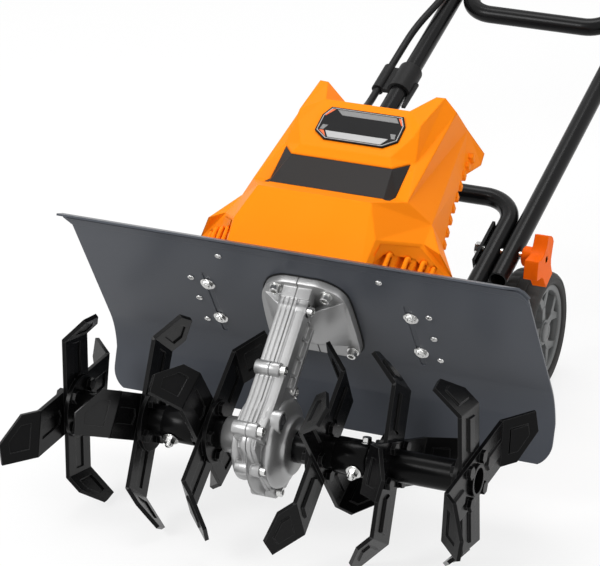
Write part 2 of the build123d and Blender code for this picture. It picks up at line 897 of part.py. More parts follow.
# Upper handle: a closed loop clamped inside the lower tubes, wider at the hands
with BuildPart() as upper_handle:
    with BuildLine(handle_plane) as loop_line:
        FilletPolyline(
            (leg_x, upper_bar_s),
            (leg_x, upper_flare_s),
            (upper_wide_x, upper_wide_s),
            (upper_wide_x, upper_top_s),
            (-upper_wide_x, upper_top_s),
            (-upper_wide_x, upper_wide_s),
            (-leg_x, upper_flare_s),
            (-leg_x, upper_bar_s),
            radius=upper_bend,
            close=True,
        )
    with BuildSketch(Plane(origin=loop_line.line @ 0, z_dir=loop_line.line % 0)):
        Circle(tube_radius)
        Circle(tube_radius - tube_wall, mode=Mode.SUBTRACT)
    sweep()
    bolt_y, bolt_z = handle_point(upper_pivot_s)
    with BuildSketch(side_at(0)):
        with Locations((bolt_y, bolt_z)):
            Circle(bolt_radius + bolt_clearance)
    extrude(amount=leg_x + 2 * tube_radius, both=True, mode=Mode.SUBTRACT)
save(upper_handle, "upper_handle")

# Pivot bolts and their three-lobed knobs, a pair at each fold
knob_lobes = [
    # angle and reach of each lobe
    (100, 24),
    (200, 15),
    (290, 21),
]
bolt_in = leg_x - tube_radius - knob_washer
bolt_out = handle_x + tube_radius + knob_washer
for level, bolt_s in (("lower", 0.0), ("upper", upper_pivot_s)):
    with BuildPart() as bolts:
        for side in (-1, 1):
            with BuildSketch(side_at(side * bolt_in)):
                with Locations(handle_point(bolt_s)):
                    Circle(bolt_radius)
            extrude(amount=side * (bolt_out + knob_depth / 2 - bolt_in))
            with BuildSketch(side_at(side * bolt_in)):
                with Locations(handle_point(bolt_s)):
                    RegularPolygon(bolt_head_radius, 6)
            extrude(amount=-side * bolt_head_thick)
    save(bolts, f"pivot_bolts_{level}")
    with BuildPart() as knobs:
        for side in (-1, 1):
            knob_y, knob_z = handle_point(bolt_s)
            seat = side_at(side * bolt_out)
            with BuildSketch(seat):
                with Locations((knob_y, knob_z)):
                    Circle(knob_hub_radius)
            extrude(amount=side * knob_depth)
            for angle, reach in knob_lobes:
                lobe_end = (
                    knob_y + reach * cos(radians(angle)),
                    knob_z + reach * sin(radians(angle)),
                )
                with BuildSketch(seat):
                    with Locations((knob_y, knob_z)):
                        Circle(knob_hub_radius - 2)
                    with Locations(lobe_end):
                        Circle(knob_lobe_radius)
                    make_hull()
                extrude(amount=side * knob_lobe_depth)
            with BuildSketch(seat):
                with Locations((knob_y, knob_z)):
                    Circle(bolt_radius + knob_clearance)
            extrude(amount=side * (knob_depth / 2 + 1), mode=Mode.SUBTRACT)
    save(knobs, f"clamp_knobs_{level}")

# Wheels, their axle and the plates that hang it from the frame
axle_y = wheel_y
with BuildPart() as axle:
    with BuildSketch(side_at(0)):
        with Locations((axle_y, wheel_z)):
            Circle(axle_radius)
    extrude(amount=wheel_inner_x + wheel_width - 2, both=True)
save(axle, "wheel_axle")

for name, side in (("left", -1), ("right", 1)):
    inner = side_at(side * wheel_inner_x)
    with BuildPart() as tyre:
        with BuildSketch(inner):
            with Locations((axle_y, wheel_z)):
                Circle(wheel_radius)
                Circle(rim_radius, mode=Mode.SUBTRACT)
        extrude(amount=side * wheel_width)
        fillet(tyre.edges().filter_by(GeomType.CIRCLE).group_by(SortBy.RADIUS)[-1], 5)
    save(tyre, f"tyre_{name}")
    rim_outer_x = wheel_inner_x + wheel_width - 4
    with BuildPart() as rim:
        with BuildSketch(inner):
            with Locations((axle_y, wheel_z)):
                Circle(rim_radius)
                Circle(rim_radius - rim_ring, mode=Mode.SUBTRACT)
                Circle(wheel_hub_radius)
        extrude(amount=side * (wheel_width - 4))
        with BuildSketch(side_at(side * (rim_outer_x - 2))):
            with Locations((axle_y, wheel_z)):
                with PolarLocations(21, spoke_count, spoke_start_angle):
                    Rectangle(26, spoke_width)
                for way in (1, -1):
                    with PolarLocations(37.5, spoke_count, spoke_start_angle + way * 10.9):
                        Rectangle(23, branch_width, rotation=way * 35.1)
        extrude(amount=-side * spoke_thick)
        with BuildSketch(inner):
            with Locations((axle_y, wheel_z)):
                Circle(axle_radius + wheel_bore_clearance)
        extrude(amount=side * wheel_width, mode=Mode.SUBTRACT)
    save(rim, f"wheel_rim_{name}")

    plate_in = leg_x - tube_radius - bracket_gap - bracket_thick
    with BuildPart() as bracket:
        with BuildSketch(side_at(side * plate_in)):
            with Locations((axle_y, wheel_z)):
                Circle(axle_radius + 9)
            Polygon(
                handle_point(-25, 7),
                handle_point(36, 7),
                handle_point(36, -8),
                handle_point(-25, -8),
                align=None,
            )
            make_hull()
            with Locations((axle_y, wheel_z)):
                Circle(axle_radius, mode=Mode.SUBTRACT)
            with Locations(handle_point(0)):
                Circle(bolt_radius + bolt_clearance, mode=Mode.SUBTRACT)
        extrude(amount=side * bracket_thick)
    save(bracket, f"wheel_bracket_{name}")

# Grips on the top bar, the switch box on the left arm and its lever
for name, side in (("left", -1), ("right", 1)):
    with BuildPart() as grip:
        with BuildSketch(side_at(side * grip_start_x)):
            with Locations(handle_point(upper_top_s)):
                Circle(grip_radius)
                Circle(tube_radius + grip_gap, mode=Mode.SUBTRACT)
        extrude(amount=side * grip_length)
    save(grip, f"grip_{name}")

box_plane = Plane(
    origin=handle_plane.from_local_coords((-upper_wide_x, switch_box_s, 0)),
    x_dir=(1, 0, 0),
    z_dir=handle_plane.y_dir,
)
with BuildPart() as switch_box:
    with BuildSketch(box_plane):
        RectangleRounded(switch_box_width, switch_box_height, switch_box_round)
        Circle(tube_radius + grip_gap, mode=Mode.SUBTRACT)
    extrude(amount=switch_box_length)
save(switch_box, "switch_box")

with BuildPart() as switch_lever:
    with BuildSketch(handle_plane.offset(switch_lever_n)):
        lever_middle = switch_box_s + switch_box_length + switch_lever_length / 2
        with Locations((-upper_wide_x + switch_lever_shift, lever_middle)):
            Rectangle(switch_lever_width, switch_lever_length)
    extrude(amount=switch_lever_thick)
save(switch_lever, "switch_lever")

# Cable from the hood to the switch box, in three stretches that meet at the folds
with BuildPart() as cable_gland:
    with BuildSketch(Plane.XZ.offset(-(shaft_y + gland_start_y))):
        with Locations((gland_x, shaft_z + gland_z)):
            Circle(gland_radius)
    extrude(amount=-(gland_end_y - gland_start_y))
    with BuildSketch(base_plane.offset(-hood_seat_gap)):
        Rectangle(600, 900)
    extrude(amount=100, mode=Mode.SUBTRACT)
save(cable_gland, "cable_gland")

with BuildPart() as cable_clip:
    with BuildSketch(
        Plane(
            origin=handle_plane.from_local_coords((-handle_x, clip_s, 0)),
            x_dir=(1, 0, 0),
            z_dir=handle_plane.y_dir,
        )
    ):
        Circle(clip_radius)
        with Locations((-clip_reach, 0)):
            Circle(cable_radius + clip_wall)
        with Locations((-clip_reach / 2, 0)):
            Rectangle(clip_reach, clip_wall * 2)
        Circle(tube_radius + grip_gap, mode=Mode.SUBTRACT)
        with Locations((-clip_reach, 0)):
            Circle(cable_radius + grip_gap, mode=Mode.SUBTRACT)
    extrude(amount=clip_length)
save(cable_clip, "cable_clip")


def on_handle(x, s, n):
    y, z = handle_point(s, n)
    return machine + Vector(x, y, z)


clip_x = -handle_x - clip_reach
cable_rows = [
    (
        "cable_lower",
        [
            machine + Vector(gland_x, gland_end_y, gland_z),
            machine + Vector(gland_x, 392, gland_z),
            machine + Vector(-76, 435, 145),
            machine + Vector(-100, 480, 137),
            machine + Vector(-123, 524, 130),
            on_handle(clip_x, clip_s - 22, 0),
            on_handle(clip_x, clip_s, 0),
        ],
    ),
    (
        "cable_middle",
        [
            on_handle(clip_x, clip_s, 0),
            on_handle(clip_x, 277, 0),
            on_handle(-121, 322, 9),
            on_handle(-108, 365, 15.5),
            on_handle(-104, 396, 15.5),
            on_handle(-104, 415, 15.5),
        ],
    ),
    (
        "cable_fold",
        [
            on_handle(-104, 415, 15.5),
            on_handle(-104, 438, 15.5),
            on_handle(-94, 466, 15.5),
            on_handle(-84, 494, 14.5),
            on_handle(-84, 520, 14.5),
        ],
    ),
    (
        "cable_upper",
        [
            on_handle(-84, 520, 14.5),
            on_handle(-84, 552, 14.5),
            on_handle(-92, 598, 14.0),
            on_handle(-117, 650, 14.0),
            on_handle(-153, 704, 14.0),
            on_handle(-upper_wide_x, 754, 14.0),
            on_handle(-upper_wide_x, switch_box_s, 14.0),
        ],
    ),
]
for name, points in cable_rows:
    radii = []
    for before, corner, after in zip(points, points[1:], points[2:]):
        run_in, run_out = corner - before, after - corner
        half_turn = radians(run_in.get_angle(run_out) / 2)
        shorter = min(run_in.length, run_out.length)
        radii.append(0.45 * shorter / tan(half_turn))
    with BuildPart() as cable:
        with BuildLine() as route:
            FilletPolyline(*points, radius=radii)
        with BuildSketch(Plane(origin=route.line @ 0, z_dir=route.line % 0)):
            Circle(cable_radius)
        sweep()
    length = route.wires()[0].length
    ratio = cable.part.volume / (length * pi * cable_radius**2)
    print(name, "length", round(length, 1), "volume ratio", round(ratio, 4))
    print("  radii", [round(r) for r in radii])
    save(cable, name)
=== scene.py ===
import json
from math import atan2, cos, pi, radians, sin

import bpy
import bmesh
from mathutils import Matrix, Vector


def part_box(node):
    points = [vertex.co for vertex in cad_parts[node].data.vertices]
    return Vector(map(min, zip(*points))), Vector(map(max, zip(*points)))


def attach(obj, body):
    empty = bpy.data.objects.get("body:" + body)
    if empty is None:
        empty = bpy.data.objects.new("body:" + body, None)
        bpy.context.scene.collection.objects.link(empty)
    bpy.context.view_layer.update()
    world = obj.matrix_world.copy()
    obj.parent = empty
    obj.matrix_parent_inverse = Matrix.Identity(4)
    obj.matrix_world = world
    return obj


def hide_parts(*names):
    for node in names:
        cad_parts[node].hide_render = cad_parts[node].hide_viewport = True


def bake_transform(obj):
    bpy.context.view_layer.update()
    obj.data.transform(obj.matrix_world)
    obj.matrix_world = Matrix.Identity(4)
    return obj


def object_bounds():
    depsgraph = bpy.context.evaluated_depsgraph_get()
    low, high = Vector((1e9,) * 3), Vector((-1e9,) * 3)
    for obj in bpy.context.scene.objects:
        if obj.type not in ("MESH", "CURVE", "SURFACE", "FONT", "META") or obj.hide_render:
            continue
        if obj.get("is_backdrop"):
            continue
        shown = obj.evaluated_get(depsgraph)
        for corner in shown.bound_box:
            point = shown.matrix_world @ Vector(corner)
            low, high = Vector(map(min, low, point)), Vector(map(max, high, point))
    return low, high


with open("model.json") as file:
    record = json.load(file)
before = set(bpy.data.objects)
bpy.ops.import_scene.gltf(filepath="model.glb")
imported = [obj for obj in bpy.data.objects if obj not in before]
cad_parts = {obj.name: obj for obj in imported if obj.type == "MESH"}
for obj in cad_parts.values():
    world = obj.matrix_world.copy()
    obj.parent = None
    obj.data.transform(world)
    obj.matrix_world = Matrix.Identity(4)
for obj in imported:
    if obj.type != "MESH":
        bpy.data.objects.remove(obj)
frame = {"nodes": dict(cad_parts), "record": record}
low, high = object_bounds()

# Sizes in millimetres, as in the model: places are measured from the tine shaft
SHAFT_Z = 102.7
TINE_FRONT = 99.04
HANDLE_SLOPE = radians(19.2)
HANDLE_PIVOT_Y, HANDLE_PIVOT_Z = 367, 64.3
HANDLE_REACH = 994.5
UPPER_PIVOT_S = 435.0
SHAFT_Y = (TINE_FRONT - (HANDLE_PIVOT_Y + HANDLE_REACH * cos(HANDLE_SLOPE))) / 2
# a point on the shield's middle plane, its slope, and its front face from that plane
DECK_SLOPE = radians(31.6)
DECK_Y, DECK_Z = 100.3, 93.0
DECK_FACE = -1.0
WHEEL_RADIUS = 63
WHEEL_Y, WHEEL_Z = 421, WHEEL_RADIUS - SHAFT_Z
TYRE_INNER_X = 84
WHEEL_FACE_X = 122


def at(x, y, z):
    """A place measured from the tine shaft, in metres in the model's frame."""
    return Vector((x, y + SHAFT_Y, z + SHAFT_Z)) / 1000


# Camera, fitted to the photograph: its two angles, its place from the shaft and its focal length
AZ, EL = radians(23.39), radians(22.93)
CAMERA_RIGHT, CAMERA_UP, CAMERA_BACK = 29.44, 145.45, 3016.7
FOCAL_PIXELS, PHOTO_PIXELS = 3275.28, 600
SENSOR_WIDTH = 36
back = Vector((sin(AZ) * cos(EL), -cos(AZ) * cos(EL), sin(EL)))
right = Vector((cos(AZ), sin(AZ), 0))
up = back.cross(right)
camera = bpy.data.objects.new("camera", bpy.data.cameras.new("camera"))
bpy.context.scene.collection.objects.link(camera)
turn = Matrix((right, up, back)).transposed().to_4x4()
camera_from_shaft = (right * CAMERA_RIGHT + up * CAMERA_UP + back * CAMERA_BACK) / 1000
camera.matrix_world = Matrix.Translation(at(0, 0, 0) + camera_from_shaft) @ turn
camera.data.lens = FOCAL_PIXELS * SENSOR_WIDTH / PHOTO_PIXELS
camera.data.sensor_width = SENSOR_WIDTH
camera.data.clip_end = 30
bpy.context.scene.camera = camera

# Floor and light: the camera and the gloss see white, the rest is a soft studio
world = bpy.data.worlds.new("studio")
bpy.context.scene.world = world
bpy.context.scene.view_settings.view_transform = "Standard"
world.use_nodes = True


def seen_directly(tree):
    """1 for rays that show the background itself: from the camera, a gloss or a glass."""
    path = tree.nodes.new("ShaderNodeLightPath")
    first = tree.nodes.new("ShaderNodeMath")
    first.operation = "MAXIMUM"
    tree.links.new(path.outputs["Is Camera Ray"], first.inputs[0])
    tree.links.new(path.outputs["Is Glossy Ray"], first.inputs[1])
    second = tree.nodes.new("ShaderNodeMath")
    second.operation = "MAXIMUM"
    tree.links.new(first.outputs[0], second.inputs[0])
    tree.links.new(path.outputs["Is Transmission Ray"], second.inputs[1])
    return second.outputs[0]


SKY_LIGHT = 0.42
sky = world.node_tree.nodes["Background"]
sky.inputs[0].default_value = (1, 1, 1, 1)
level = world.node_tree.nodes.new("ShaderNodeMapRange")
level.inputs["To Min"].default_value = SKY_LIGHT
level.inputs["To Max"].default_value = 1.0
world.node_tree.links.new(seen_directly(world.node_tree), level.inputs["Value"])
world.node_tree.links.new(level.outputs["Result"], sky.inputs[1])


def lamp(name, place, size_m, power, target=(0, 0, 0.15)):
    """A rectangular lamp of a size in metres and a power in watts, turned to the machine."""
    data = bpy.data.lights.new(name, "AREA")
    data.shape = "RECTANGLE"
    data.size, data.size_y = size_m
    data.energy = power
    lamp_object = bpy.data.objects.new(name, data)
    bpy.context.scene.collection.objects.link(lamp_object)
    lamp_object.location = place
    lamp_object.rotation_euler = (Vector(place) - Vector(target)).to_track_quat("Z", "Y").to_euler()


lamp("key", (-1.7, -2.9, 2.4), (1.5, 1.2), 76)
lamp("fill", (2.6, -1.6, 1.3), (1.2, 1.6), 20)
lamp("top", (-0.2, 0.3, 3.0), (2.0, 1.4), 50)

FLOOR_REACH = 30
floor_mesh = bpy.data.meshes.new("floor")
floor_corners = [(x * FLOOR_REACH, y * FLOOR_REACH, 0) for x, y in ((-1, -1), (1, -1), (1, 1), (-1, 1))]
floor_mesh.from_pydata(floor_corners, [], [(0, 1, 2, 3)])
floor = bpy.data.objects.new("floor", floor_mesh)
bpy.context.scene.collection.objects.link(floor)
floor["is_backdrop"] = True


# Materials
def material(name, color, rough, metal=0.0, grain=400.0, bump=0.05, vary=0.06, edge_highlight=0.0,
             rough_vary=0.08, shine=0.5, edge=0.8):
    """A painted, moulded or cast surface: fine grain in its height, cloudy colour and gloss.

    edge is the round of its corners in millimetres, and a painted highlight of the given strength turns them
    paler.
    """
    m = bpy.data.materials.new(name)
    m.use_nodes = True
    nodes, links = m.node_tree.nodes, m.node_tree.links
    surface = nodes["Principled BSDF"]
    place = nodes.new("ShaderNodeTexCoord")
    cloud = nodes.new("ShaderNodeTexNoise")
    cloud.inputs["Scale"].default_value = 14.0
    cloud.inputs["Detail"].default_value = 5.0
    links.new(place.outputs["Object"], cloud.inputs["Vector"])
    tone = nodes.new("ShaderNodeMixRGB")
    tone.blend_type = "MIX"
    tone.inputs["Color1"].default_value = (*[c * (1 - vary) for c in color], 1)
    tone.inputs["Color2"].default_value = (*[min(1.0, c * (1 + vary) + 0.004) for c in color], 1)
    links.new(cloud.outputs["Fac"], tone.inputs["Fac"])
    color_out = tone.outputs["Color"]
    corner = nodes.new("ShaderNodeBevel")
    corner.samples = 6
    corner.inputs["Radius"].default_value = edge / 1000
    if edge_highlight:
        # painted highlight along the edges: the rounded normal leaves the flat one only there
        geometry = nodes.new("ShaderNodeNewGeometry")
        lean = nodes.new("ShaderNodeVectorMath")
        lean.operation = "DOT_PRODUCT"
        links.new(corner.outputs["Normal"], lean.inputs[0])
        links.new(geometry.outputs["Normal"], lean.inputs[1])
        edge_highlight_mask = nodes.new("ShaderNodeMapRange")
        edge_highlight_mask.inputs["From Min"].default_value = 0.985
        edge_highlight_mask.inputs["From Max"].default_value = 0.9
        edge_highlight_mask.inputs["To Max"].default_value = edge_highlight
        links.new(lean.outputs["Value"], edge_highlight_mask.inputs["Value"])
        painted_edge_highlight = nodes.new("ShaderNodeMixRGB")
        painted_edge_highlight.inputs["Color2"].default_value = (*[min(1.0, c * 1.8 + 0.07) for c in color], 1)
        links.new(edge_highlight_mask.outputs["Result"], painted_edge_highlight.inputs["Fac"])
        links.new(color_out, painted_edge_highlight.inputs["Color1"])
        color_out = painted_edge_highlight.outputs["Color"]
    links.new(color_out, surface.inputs["Base Color"])
    gloss = nodes.new("ShaderNodeMapRange")
    gloss.inputs["To Min"].default_value = max(0.02, rough - rough_vary)
    gloss.inputs["To Max"].default_value = min(1.0, rough + rough_vary)
    links.new(cloud.outputs["Fac"], gloss.inputs["Value"])
    links.new(gloss.outputs["Result"], surface.inputs["Roughness"])
    fine = nodes.new("ShaderNodeTexNoise")
    fine.inputs["Scale"].default_value = grain
    fine.inputs["Detail"].default_value = 3.0
    links.new(place.outputs["Object"], fine.inputs["Vector"])
    height = nodes.new("ShaderNodeBump")
    height.inputs["Strength"].default_value = bump
    height.inputs["Distance"].default_value = 0.001
    links.new(fine.outputs["Fac"], height.inputs["Height"])
    links.new(corner.outputs["Normal"], height.inputs["Normal"])
    links.new(height.outputs["Normal"], surface.inputs["Normal"])
    surface.inputs["Metallic"].default_value = metal
    surface.inputs["Specular IOR Level"].default_value = shine
    return m


orange = material("hood_orange", (0.97, 0.245, 0.004), 0.42, grain=900, bump=0.03, vary=0.03,
                  shine=0.035, edge=3.0)
# its edges turn paler: a painted highlight
tine_black = material("tine_black", (0.0018, 0.0018, 0.002), 0.24, grain=260, bump=0.05, edge_highlight=0.55,
                      shine=0.085, edge=0.7, rough_vary=0.05)
tube_black = material("tube_black", (0.0025, 0.0025, 0.0028), 0.24, grain=500, bump=0.04, shine=0.13)
zinc = material("zinc", (0.66, 0.66, 0.65), 0.26, metal=1.0, grain=800, bump=0.05, edge=0.4)
cast = material("cast_aluminium", (0.4, 0.4, 0.4), 0.38, metal=0.7, grain=620, bump=0.14,
                edge=1.3, shine=0.3)
# its edges turn paler: a painted highlight
shield_grey = material("shield_grey", (0.06, 0.066, 0.079), 0.34, metal=0.1, grain=300, bump=0.03,
                       shine=0.25, edge=0.5, edge_highlight=0.5)
window_dark = material("window_dark", (0.021, 0.0195, 0.019), 0.42, grain=1200, bump=0.05, shine=0.07,
                       edge=1.5)
label_black = material("label_black", (0.006, 0.006, 0.0065), 0.4, grain=900, bump=0.03, shine=0.06)
label_grey = material("label_grey", (0.17, 0.17, 0.17), 0.4, grain=900, bump=0.03, shine=0.3)
label_pale = material("label_pale", (0.4, 0.4, 0.4), 0.4, grain=900, bump=0.03, shine=0.3)
label_orange = material("label_orange", (0.75, 0.12, 0.02), 0.4, grain=900, bump=0.03, shine=0.3)
knob_orange = material("knob_orange", (0.98, 0.145, 0.002), 0.42, grain=700, bump=0.06, shine=0.05,
                       edge=1.6)
plastic_black = material("plastic_black", (0.006, 0.006, 0.0062), 0.45, grain=1100, bump=0.12, shine=0.14,
                         edge=1.2)
rubber = material("rubber", (0.006, 0.006, 0.0064), 0.45, grain=700, bump=0.1, shine=0.15)
tyre_black = material("tyre", (0.035, 0.034, 0.033), 0.6, grain=420, bump=0.2, shine=0.2)
rim_grey = material("rim_grey", (0.14, 0.145, 0.145), 0.42, grain=800, bump=0.08, shine=0.3, edge=1.4)
iron = material("iron", (0.1, 0.1, 0.105), 0.55, metal=0.6, grain=300, bump=0.3)

# The floor is white to the camera and keeps the machine's shadow
FLOOR_GLOW = 0.8
floor_white = material("floor_white", (0.9, 0.9, 0.9), 0.8, grain=60, bump=0.0, vary=0.0, shine=0.0)
tree = floor_white.node_tree
paper = tree.nodes.new("ShaderNodeEmission")
paper.inputs["Color"].default_value = (1, 1, 1, 1)
share = tree.nodes.new("ShaderNodeMath")
share.operation = "MULTIPLY"
share.inputs[1].default_value = FLOOR_GLOW
tree.links.new(seen_directly(tree), share.inputs[0])
blend = tree.nodes.new("ShaderNodeMixShader")
tree.links.new(share.outputs[0], blend.inputs["Fac"])
tree.links.new(tree.nodes["Principled BSDF"].outputs["BSDF"], blend.inputs[1])
tree.links.new(paper.outputs["Emission"], blend.inputs[2])
tree.links.new(blend.outputs["Shader"], tree.nodes["Material Output"].inputs["Surface"])
floor.data.materials.append(floor_white)

by_slot = {
    "case": cast, "black_steel": tine_black, "zinc": zinc, "shield_paint": shield_grey,
    "hood_orange": orange, "window_dark": window_dark, "label_blank": label_black,
    "tube_black": tube_black, "knob_orange": knob_orange, "plastic_black": plastic_black,
    "rubber_black": rubber, "tyre_black": tyre_black, "rim_grey": rim_grey, "iron": iron,
}
slot_of = {row["node"]: row["material_slot"] for row in frame["record"]["subparts"]}
for name, node in frame["nodes"].items():
    node.data.materials.clear()
    node.data.materials.append(by_slot[slot_of[name]])


# Helpers for the added pieces: local millimetres on a frame fixed to the machine
def frame_on(place, outward, across=(1, 0, 0)):
    """Frame at a place from the tine shaft, its z along outward, in millimetres."""
    z = Vector(outward).normalized()
    x = Vector(across) - z * Vector(across).dot(z)
    x.normalize()
    y = z.cross(x)
    turn = Matrix((x, y, z)).transposed().to_4x4()
    return Matrix.Translation(at(*place)) @ turn @ Matrix.Scale(0.001, 4)


def side_place(x, y, z):
    """Frame at a place, its x backwards, its y up and its z along the tine shaft."""
    return frame_on((x, y, z), (1, 0, 0), (0, 1, 0))


def deck_place(x, v, w=0.0):
    """A place on the shield: across, down its slope, and back from its middle plane."""
    return (
        x,
        DECK_Y + v * sin(DECK_SLOPE) + w * cos(DECK_SLOPE),
        DECK_Z - v * cos(DECK_SLOPE) + w * sin(DECK_SLOPE),
    )


def handle_place(x, s):
    """A place on the plane of the handle: across, and up its slope from the lower pivot."""
    return (
        x,
        HANDLE_PIVOT_Y + s * cos(HANDLE_SLOPE),
        HANDLE_PIVOT_Z + s * sin(HANDLE_SLOPE),
    )


DECK_OUT = (0, -cos(DECK_SLOPE), -sin(DECK_SLOPE))
HANDLE_UP = (0, -sin(HANDLE_SLOPE), cos(HANDLE_SLOPE))


def bridge(bm, rings, closed_ends=True):
    """Faces between rings of points that have the same count."""
    for low_ring, high_ring in zip(rings, rings[1:]):
        count = len(low_ring)
        for i in range(count):
            j = (i + 1) % count
            bm.faces.new((low_ring[i], low_ring[j], high_ring[j], high_ring[i]))
    if closed_ends:
        bm.faces.new(list(reversed(rings[0])))
        bm.faces.new(rings[-1])


def turn_profile(bm, place, profile, count=24, closed_ends=True):
    """A turned form from (radius, height) rows; a third value gives that row as many sides."""
    rings = []
    for row in profile:
        radius, height = row[0], row[1]
        ring = []
        for i in range(count):
            angle = 2 * pi * i / count
            r = radius
            if len(row) > 2:
                step = 2 * pi / row[2]
                r = radius * cos(step / 2) / cos((angle % step) - step / 2)
            ring.append(bm.verts.new(place @ Vector((r * cos(angle), r * sin(angle), height))))
        rings.append(ring)
    bridge(bm, rings, closed_ends)


def slab(bm, place, outline, low_z, high_z, cut=0.0):
    """A plate of one outline, its upper corner cut back."""
    mid = Vector((sum(p[0] for p in outline), sum(p[1] for p in outline))) / len(outline)
    rise = (1 if high_z > low_z else -1) * min(cut, abs(high_z - low_z) * 0.9)
    rows = [(1.0, low_z), (1.0, high_z - rise)]
    if cut:
        reach = max((Vector(p) - mid).length for p in outline)
        rows.append((1 - cut / reach, high_z))
    rings = []
    for share_out, height in rows:
        ring = []
        for p in outline:
            q = mid + (Vector(p) - mid) * share_out
            ring.append(bm.verts.new(place @ Vector((q.x, q.y, height))))
        rings.append(ring)
    bridge(bm, rings)


def piece(name, bm, surface, body, smooth=32):
    """A named object of the scene that rides on a body; edges sharper than smooth stay sharp."""
    bmesh.ops.recalc_face_normals(bm, faces=bm.faces)
    mesh = bpy.data.meshes.new(name)
    bm.to_mesh(mesh)
    bm.free()
    mesh.materials.append(surface)
    for face in mesh.polygons:
        face.use_smooth = True
    mesh.set_sharp_from_angle(angle=radians(smooth))
    obj = bpy.data.objects.new(name, mesh)
    bpy.context.scene.collection.objects.link(obj)
    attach(obj, body)
    return obj


def hex_screw(bm, place, across, height, washer=0.0, stud=0.0):
    """A hexagon head or nut with its washer and, for a nut, the end of its stud."""
    base = 0.0
    if washer:
        turn_profile(bm, place, [(washer - 0.3, 0), (washer, 0.3), (washer, 1.0), (washer - 0.3, 1.3)])
        base = 1.3
    r = across / 2 / cos(pi / 6)
    turn_profile(
        bm, place,
        [(r, base, 6), (r, base + height - 0.7, 6), (r * 0.9, base + height, 12)],
        count=36,
    )
    if stud:
        rows = [(stud, base + height - 0.1)]
        for k in range(4):
            rows += [(stud, base + height + 0.35 + 0.7 * k), (stud - 0.35, base + height + 0.7 + 0.7 * k)]
        rows.append((stud * 0.6, base + height + 3.3))
        turn_profile(bm, place, rows)


def socket_screw(bm, place, radius, height, washer=0.0):
    """A cylinder head with a hexagon socket."""
    base = 0.0
    if washer:
        turn_profile(bm, place, [(washer - 0.2, 0), (washer, 0.3), (washer, 0.8), (washer - 0.2, 1.1)])
        base = 1.1
    top = base + height
    turn_profile(
        bm, place,
        [
            (radius - 0.2, base), (radius, base + 0.3), (radius, top - 0.5), (radius - 0.5, top),
            (radius * 0.62, top, 6), (radius * 0.6, top - 0.4, 6), (radius * 0.6, top - height * 0.6, 6),
        ],
    )


def pan_screw(bm, place, radius, height):
    """A low domed head with a shallow round dimple in its top."""
    rows = [(radius, 0), (radius, height * 0.25)]
    for k in range(1, 5):
        angle = pi / 2 * k / 5
        rows.append((radius * cos(angle), height * (0.25 + 0.75 * sin(angle))))
    rows += [(radius * 0.28, height), (radius * 0.2, height * 0.55)]
    turn_profile(bm, place, rows)


def smooth_outline(outline, steps=4):
    """The outline again as a closed smooth curve through its points."""
    points = [Vector(p) for p in outline]
    count = len(points)
    result = []
    for i in range(count):
        a, b, c, d = (points[(i + k) % count] for k in (-1, 0, 1, 2))
        for k in range(steps):
            t = k / steps
            result.append(
                0.5 * (2 * b + (c - a) * t + (2 * a - 5 * b + 4 * c - d) * t * t
                       + (3 * b - a - 3 * c + d) * t ** 3)
            )
    return [(p.x, p.y) for p in result]


def hull(bm, place, points):
    """The solid with flat faces that the points span."""
    verts = [bm.verts.new(place @ Vector(p)) for p in points]
    made = bmesh.ops.convex_hull(bm, input=verts)
    inner = [v for v in made["geom_interior"] if isinstance(v, bmesh.types.BMVert)]
    bmesh.ops.delete(bm, geom=inner, context="VERTS")


def sweep(bm, place, path, section, side=1):
    """A section of (across, outward) points drawn along a path of the place's plane."""
    points = [Vector(p) for p in path]
    rings = []
    for i, point in enumerate(points):
        before = (point - points[i - 1]).normalized() if i else None
        after = (points[i + 1] - point).normalized() if i + 1 < len(points) else None
        along = ((before or after) + (after or before)).normalized()
        out = Vector((-along.y, along.x))
        stretch = 1 / max(0.5, along.dot(after or before))
        ring = []
        for across, height in section:
            spot = point - out * height * stretch
            ring.append(bm.verts.new(place @ Vector((spot.x, spot.y, side * across))))
        rings.append(ring)
    bridge(bm, rings)


def own_copy(name):
    """A copy of a CAD node's mesh, free of its body, that stands for the node."""
    node = frame["nodes"][name]
    copy = node.copy()
    copy.data = node.data.copy()
    copy.name = f"{name}_fitted"
    bpy.context.scene.collection.objects.link(copy)
    placed = node.matrix_world.copy()
    copy.parent = None
    copy.matrix_world = placed
    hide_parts(name)
    return copy


side_frame = side_place(0, 0, 0)
# x across, y up the slope, z out of the shield's front face
deck_frame = frame_on(deck_place(0, 0, DECK_FACE), DECK_OUT)
# screws that join the halves of the gear case: back, up, and where their heads sit beside the seam
case_screws = [(60.3, 108.5, 14), (7.3, 70.1, 10), (-44.0, 31.0, 10), (-38.5, -10.9, 10), (-1.5, -49.2, 10)]

# Shield with its right top corner cut round, and the strip folded over along its top
shield_corner = [(219, 90), (226, 84), (229.5, 77), (231.5, 64)]
shield = own_copy("shield")
bm = bmesh.new()
bm.from_mesh(shield.data)
placed = shield.matrix_world.copy()
bm.transform(placed)
bmesh.ops.remove_doubles(bm, verts=bm.verts, dist=1e-6)
deck_out = (deck_frame @ Vector((0, 0, 1)) - deck_frame @ Vector((0, 0, 0))).normalized()
for first, second in zip(shield_corner, shield_corner[1:]):
    a, b = deck_frame @ Vector((*first, 0)), deck_frame @ Vector((*second, 0))
    outer = (b - a).cross(deck_out).normalized()
    if outer.x < 0:
        outer.negate()
    whole = bm.verts[:] + bm.edges[:] + bm.faces[:]
    cut = bmesh.ops.bisect_plane(bm, geom=whole, plane_co=a, plane_no=outer, clear_outer=True)
    cut_edges = [e for e in cut["geom_cut"] if isinstance(e, bmesh.types.BMEdge)]
    bmesh.ops.edgeloop_fill(bm, edges=cut_edges)
for face in bm.faces:
    face.smooth = True
bm.transform(placed.inverted())
bm.to_mesh(shield.data)
bm.free()
if "custom_normal" in shield.data.attributes:
    shield.data.attributes.remove(shield.data.attributes["custom_normal"])
shield.data.set_sharp_from_angle(angle=radians(30))
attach(shield, "chassis")
bm = bmesh.new()
